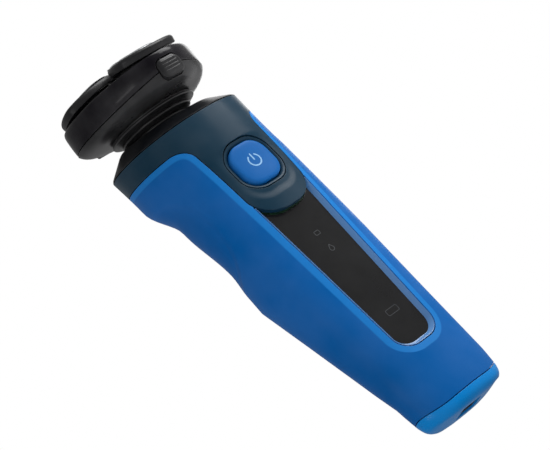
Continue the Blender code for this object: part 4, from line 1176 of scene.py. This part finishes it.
def makeUnit(side):
    place = unitPlace(side)
    thick = unit["thick"]
    inner = unit["guardRadius"] + gap
    rings = [unitRing(0.15 * mm, -0.3 * mm), unitRing(0.35 * mm, -0.06 * mm), unitRing(1.4 * mm, 0.0)]
    for angle in range(0, 91, 15):
        turn = math.radians(angle)
        rings.append(unitRing(thick - 1.3 * mm * (1.0 - math.sin(turn)), -1.3 * mm * (1.0 - math.cos(turn))))
    bore = [(inner + 0.25 * mm, thick), (inner, thick - 0.2 * mm), (inner, 0.0), (inner + 0.4 * mm, 0.0)]
    rings += turnedRings(bore, 96)
    points, faces = bridge(rings, closed=True)
    body = "head_" + side
    carrier = addPiece("unitCarrier_" + side, points, faces, finishes["unit"], body, place,
                       sharp=40)
    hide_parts("guard_carrier_" + side)

    # the guard: a thin shell of rings, with every other cell left open where the slots run
    top = thick + unit["proud"]
    profile = unit["guardTop"]
    count = unit["slots"] * 2
    rings = turnedRings([(r * mm, top + h * mm) for r, h in profile], count)
    skirt = unit["skirt"]
    rings += turnedRings([(unit["guardRadius"], 0.6 * mm), (skirt, 0.6 * mm), (skirt, -2.4 * mm)], count)
    points = [point for ring in rings for point in ring]
    faces = []
    for low in range(len(rings) - 1):
        for step in range(count):
            if low + 1 in unit["slottedBands"] and step % 2:
                continue
            after = (step + 1) % count
            here, above = low * count, (low + 1) * count
            faces.append((here + step, above + step, above + after, here + after))
    guard = addPiece("guard_ring_" + side, points, faces, finishes["guard"], body, place, sharp=30)
    guard.data.materials.append(finishes["unit"])
    for face in guard.data.polygons:
        if face.vertices[0] >= (len(profile) - 1) * count:
            face.material_index = 1
    wall = guard.modifiers.new("wall", "SOLIDIFY")
    wall.thickness = 0.22 * mm
    wall.offset = -1.0
    settle(guard, 30)
    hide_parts("guard_" + side)

    dome = [(1.85, -1.3), (1.85, -0.6), (1.75, -0.35), (1.45, -0.2), (1.0, -0.12), (0.4, -0.08)]
    rings = turnedRings([(r * mm, top + h * mm) for r, h in dome], 48)
    points, faces = bridge(rings, capStart=True, capEnd=True)
    cap = addPiece("unitCap_" + side, points, faces, finishes["unit"], body, place)
    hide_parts("guard_cap_" + side)


for side in ("front", "right", "left"):
    makeUnit(side)
print("shaving units made")

# Plain nodes that stay

slotFinish = {
    "rubber": "rubber", "steel": "steel", "brass": "brass", "nylon": "nylon", "board": "board",
    "cell": "cell", "chassis_grey": "grey", "charcoal": "chamber", "holder_black": "holder", "blade": "guard",
    "body_blue": "body", "teal_dark": "bezel", "button_blue": "button",
}
slotOf = {entry["node"]: entry["material_slot"] for entry in frame["record"]["subparts"]}
for name, node in frame["nodes"].items():
    if node.hide_render:
        continue
    node.data.materials.clear()
    node.data.materials.append(finishes[slotFinish[slotOf[name]]])
    edge = node.modifiers.new("edge", "BEVEL")
    edge.width = 0.1 * mm
    edge.segments = 2
    edge.limit_method = "ANGLE"
    edge.angle_limit = math.radians(50)
print("inner pieces finished")

# Stage, light and camera

stage = {
    "floorColour": (0.86, 0.86, 0.87),
    "floorHalf": 1.5,
    "ambient": 0.32,
    "nearFloor": 0.06,
    "key": (10.0, 0.7, Vector((0.6, -0.5, 0.62)), 1.1),
    "fill": (3.0, 0.6, Vector((-0.9, -0.6, -0.15)), 1.2),
    "rim": (2.6, 0.7, Vector((0.7, 0.6, 0.5)), 1.2),
}


def makeFloor():
    half = stage["floorHalf"]
    mesh = bpy.data.meshes.new("floor")
    corners = [(-half, -half, 0), (half, -half, 0), (half, half, 0), (-half, half, 0)]
    mesh.from_pydata(corners, [], [(0, 1, 2, 3)])
    floor = bpy.data.objects.new("floor", mesh)
    bpy.context.scene.collection.objects.link(floor)
    material, tree, shader = nodeTree("pale floor")
    shader.inputs["Roughness"].default_value = 0.8
    tone = noise(tree, 3.0, 2.0)
    pale = stage["floorColour"]
    tree.links.new(mixColours(tree, tone, darker(pale, 0.02), pale), shader.inputs["Base Color"])
    # seen through from below, and for light that reaches the object's underside
    geometry = tree.nodes.new("ShaderNodeNewGeometry")
    path = tree.nodes.new("ShaderNodeLightPath")
    near = calc(tree, "LESS_THAN", path.outputs["Ray Length"], stage["nearFloor"])
    near = calc(tree, "MULTIPLY", near, calc(tree, "SUBTRACT", 1.0, path.outputs["Is Camera Ray"]))
    clearShare = calc(tree, "MAXIMUM", geometry.outputs["Backfacing"], near)
    clear = tree.nodes.new("ShaderNodeBsdfTransparent")
    mix = tree.nodes.new("ShaderNodeMixShader")
    tree.links.new(clearShare, mix.inputs[0])
    tree.links.new(shader.outputs[0], mix.inputs[1])
    tree.links.new(clear.outputs[0], mix.inputs[2])
    tree.links.new(mix.outputs[0], tree.nodes["Material Output"].inputs["Surface"])
    mesh.materials.append(material)


def makeWorld():
    world = bpy.data.worlds.new("studio")
    bpy.context.scene.world = world
    world.use_nodes = True
    tree = world.node_tree
    background = tree.nodes["Background"]
    background.inputs["Color"].default_value = (1, 1, 1, 1)
    light = tree.nodes.new("ShaderNodeLightPath")
    seen = calc(tree, "MAXIMUM", light.outputs["Is Camera Ray"], light.outputs["Is Transmission Ray"])
    strength = spread(tree, seen, 0.0, 1.0, stage["ambient"], 1.0)
    tree.links.new(strength, background.inputs["Strength"])


def addLamp(name, settings, aim):
    power, size, direction, distance = settings
    data = bpy.data.lights.new(name, "AREA")
    data.energy = power
    data.size = size
    lamp = bpy.data.objects.new(name, data)
    bpy.context.scene.collection.objects.link(lamp)
    lamp.location = aim + direction.normalized() * distance
    lamp.rotation_euler = (aim - lamp.location).to_track_quat("-Z", "Y").to_euler()


def makeCamera():
    # seen from the front left and below, turned so that the head points up and left
    view = {"azimuth": 37.0, "below": 15.4, "roll": -44.4, "distance": 0.6254, "lens": 124.6,
            "target": Vector((0, shiftY, 0.0878)), "shift": (0.0065, 0.0098)}
    azimuth, below, roll = (math.radians(view[key]) for key in ("azimuth", "below", "roll"))
    outward = Vector((-math.sin(azimuth), -math.cos(azimuth), 0))
    toCamera = outward * math.cos(below) + Vector((0, 0, -math.sin(below)))
    level = Vector((math.cos(azimuth), -math.sin(azimuth), 0))
    upright = toCamera.cross(level)
    across = math.cos(roll) * level + math.sin(roll) * upright
    up = -math.sin(roll) * level + math.cos(roll) * upright
    data = bpy.data.cameras.new("camera")
    data.sensor_width = 36.0
    data.lens = view["lens"]
    data.shift_x, data.shift_y = view["shift"]
    data.clip_start = 0.01
    camera = bpy.data.objects.new("camera", data)
    bpy.context.scene.collection.objects.link(camera)
    camera.matrix_world = placeFrom(view["target"] + toCamera * view["distance"], across, up, toCamera)
    bpy.context.scene.camera = camera


makeFloor()
makeWorld()
aim = (cadBox[0] + cadBox[1]) / 2
addLamp("keyLamp", stage["key"], aim)
addLamp("fillLamp", stage["fill"], aim)
addLamp("rimLamp", stage["rim"], aim)
makeCamera()
bpy.context.scene.view_settings.view_transform = "Standard"
print("stage made")
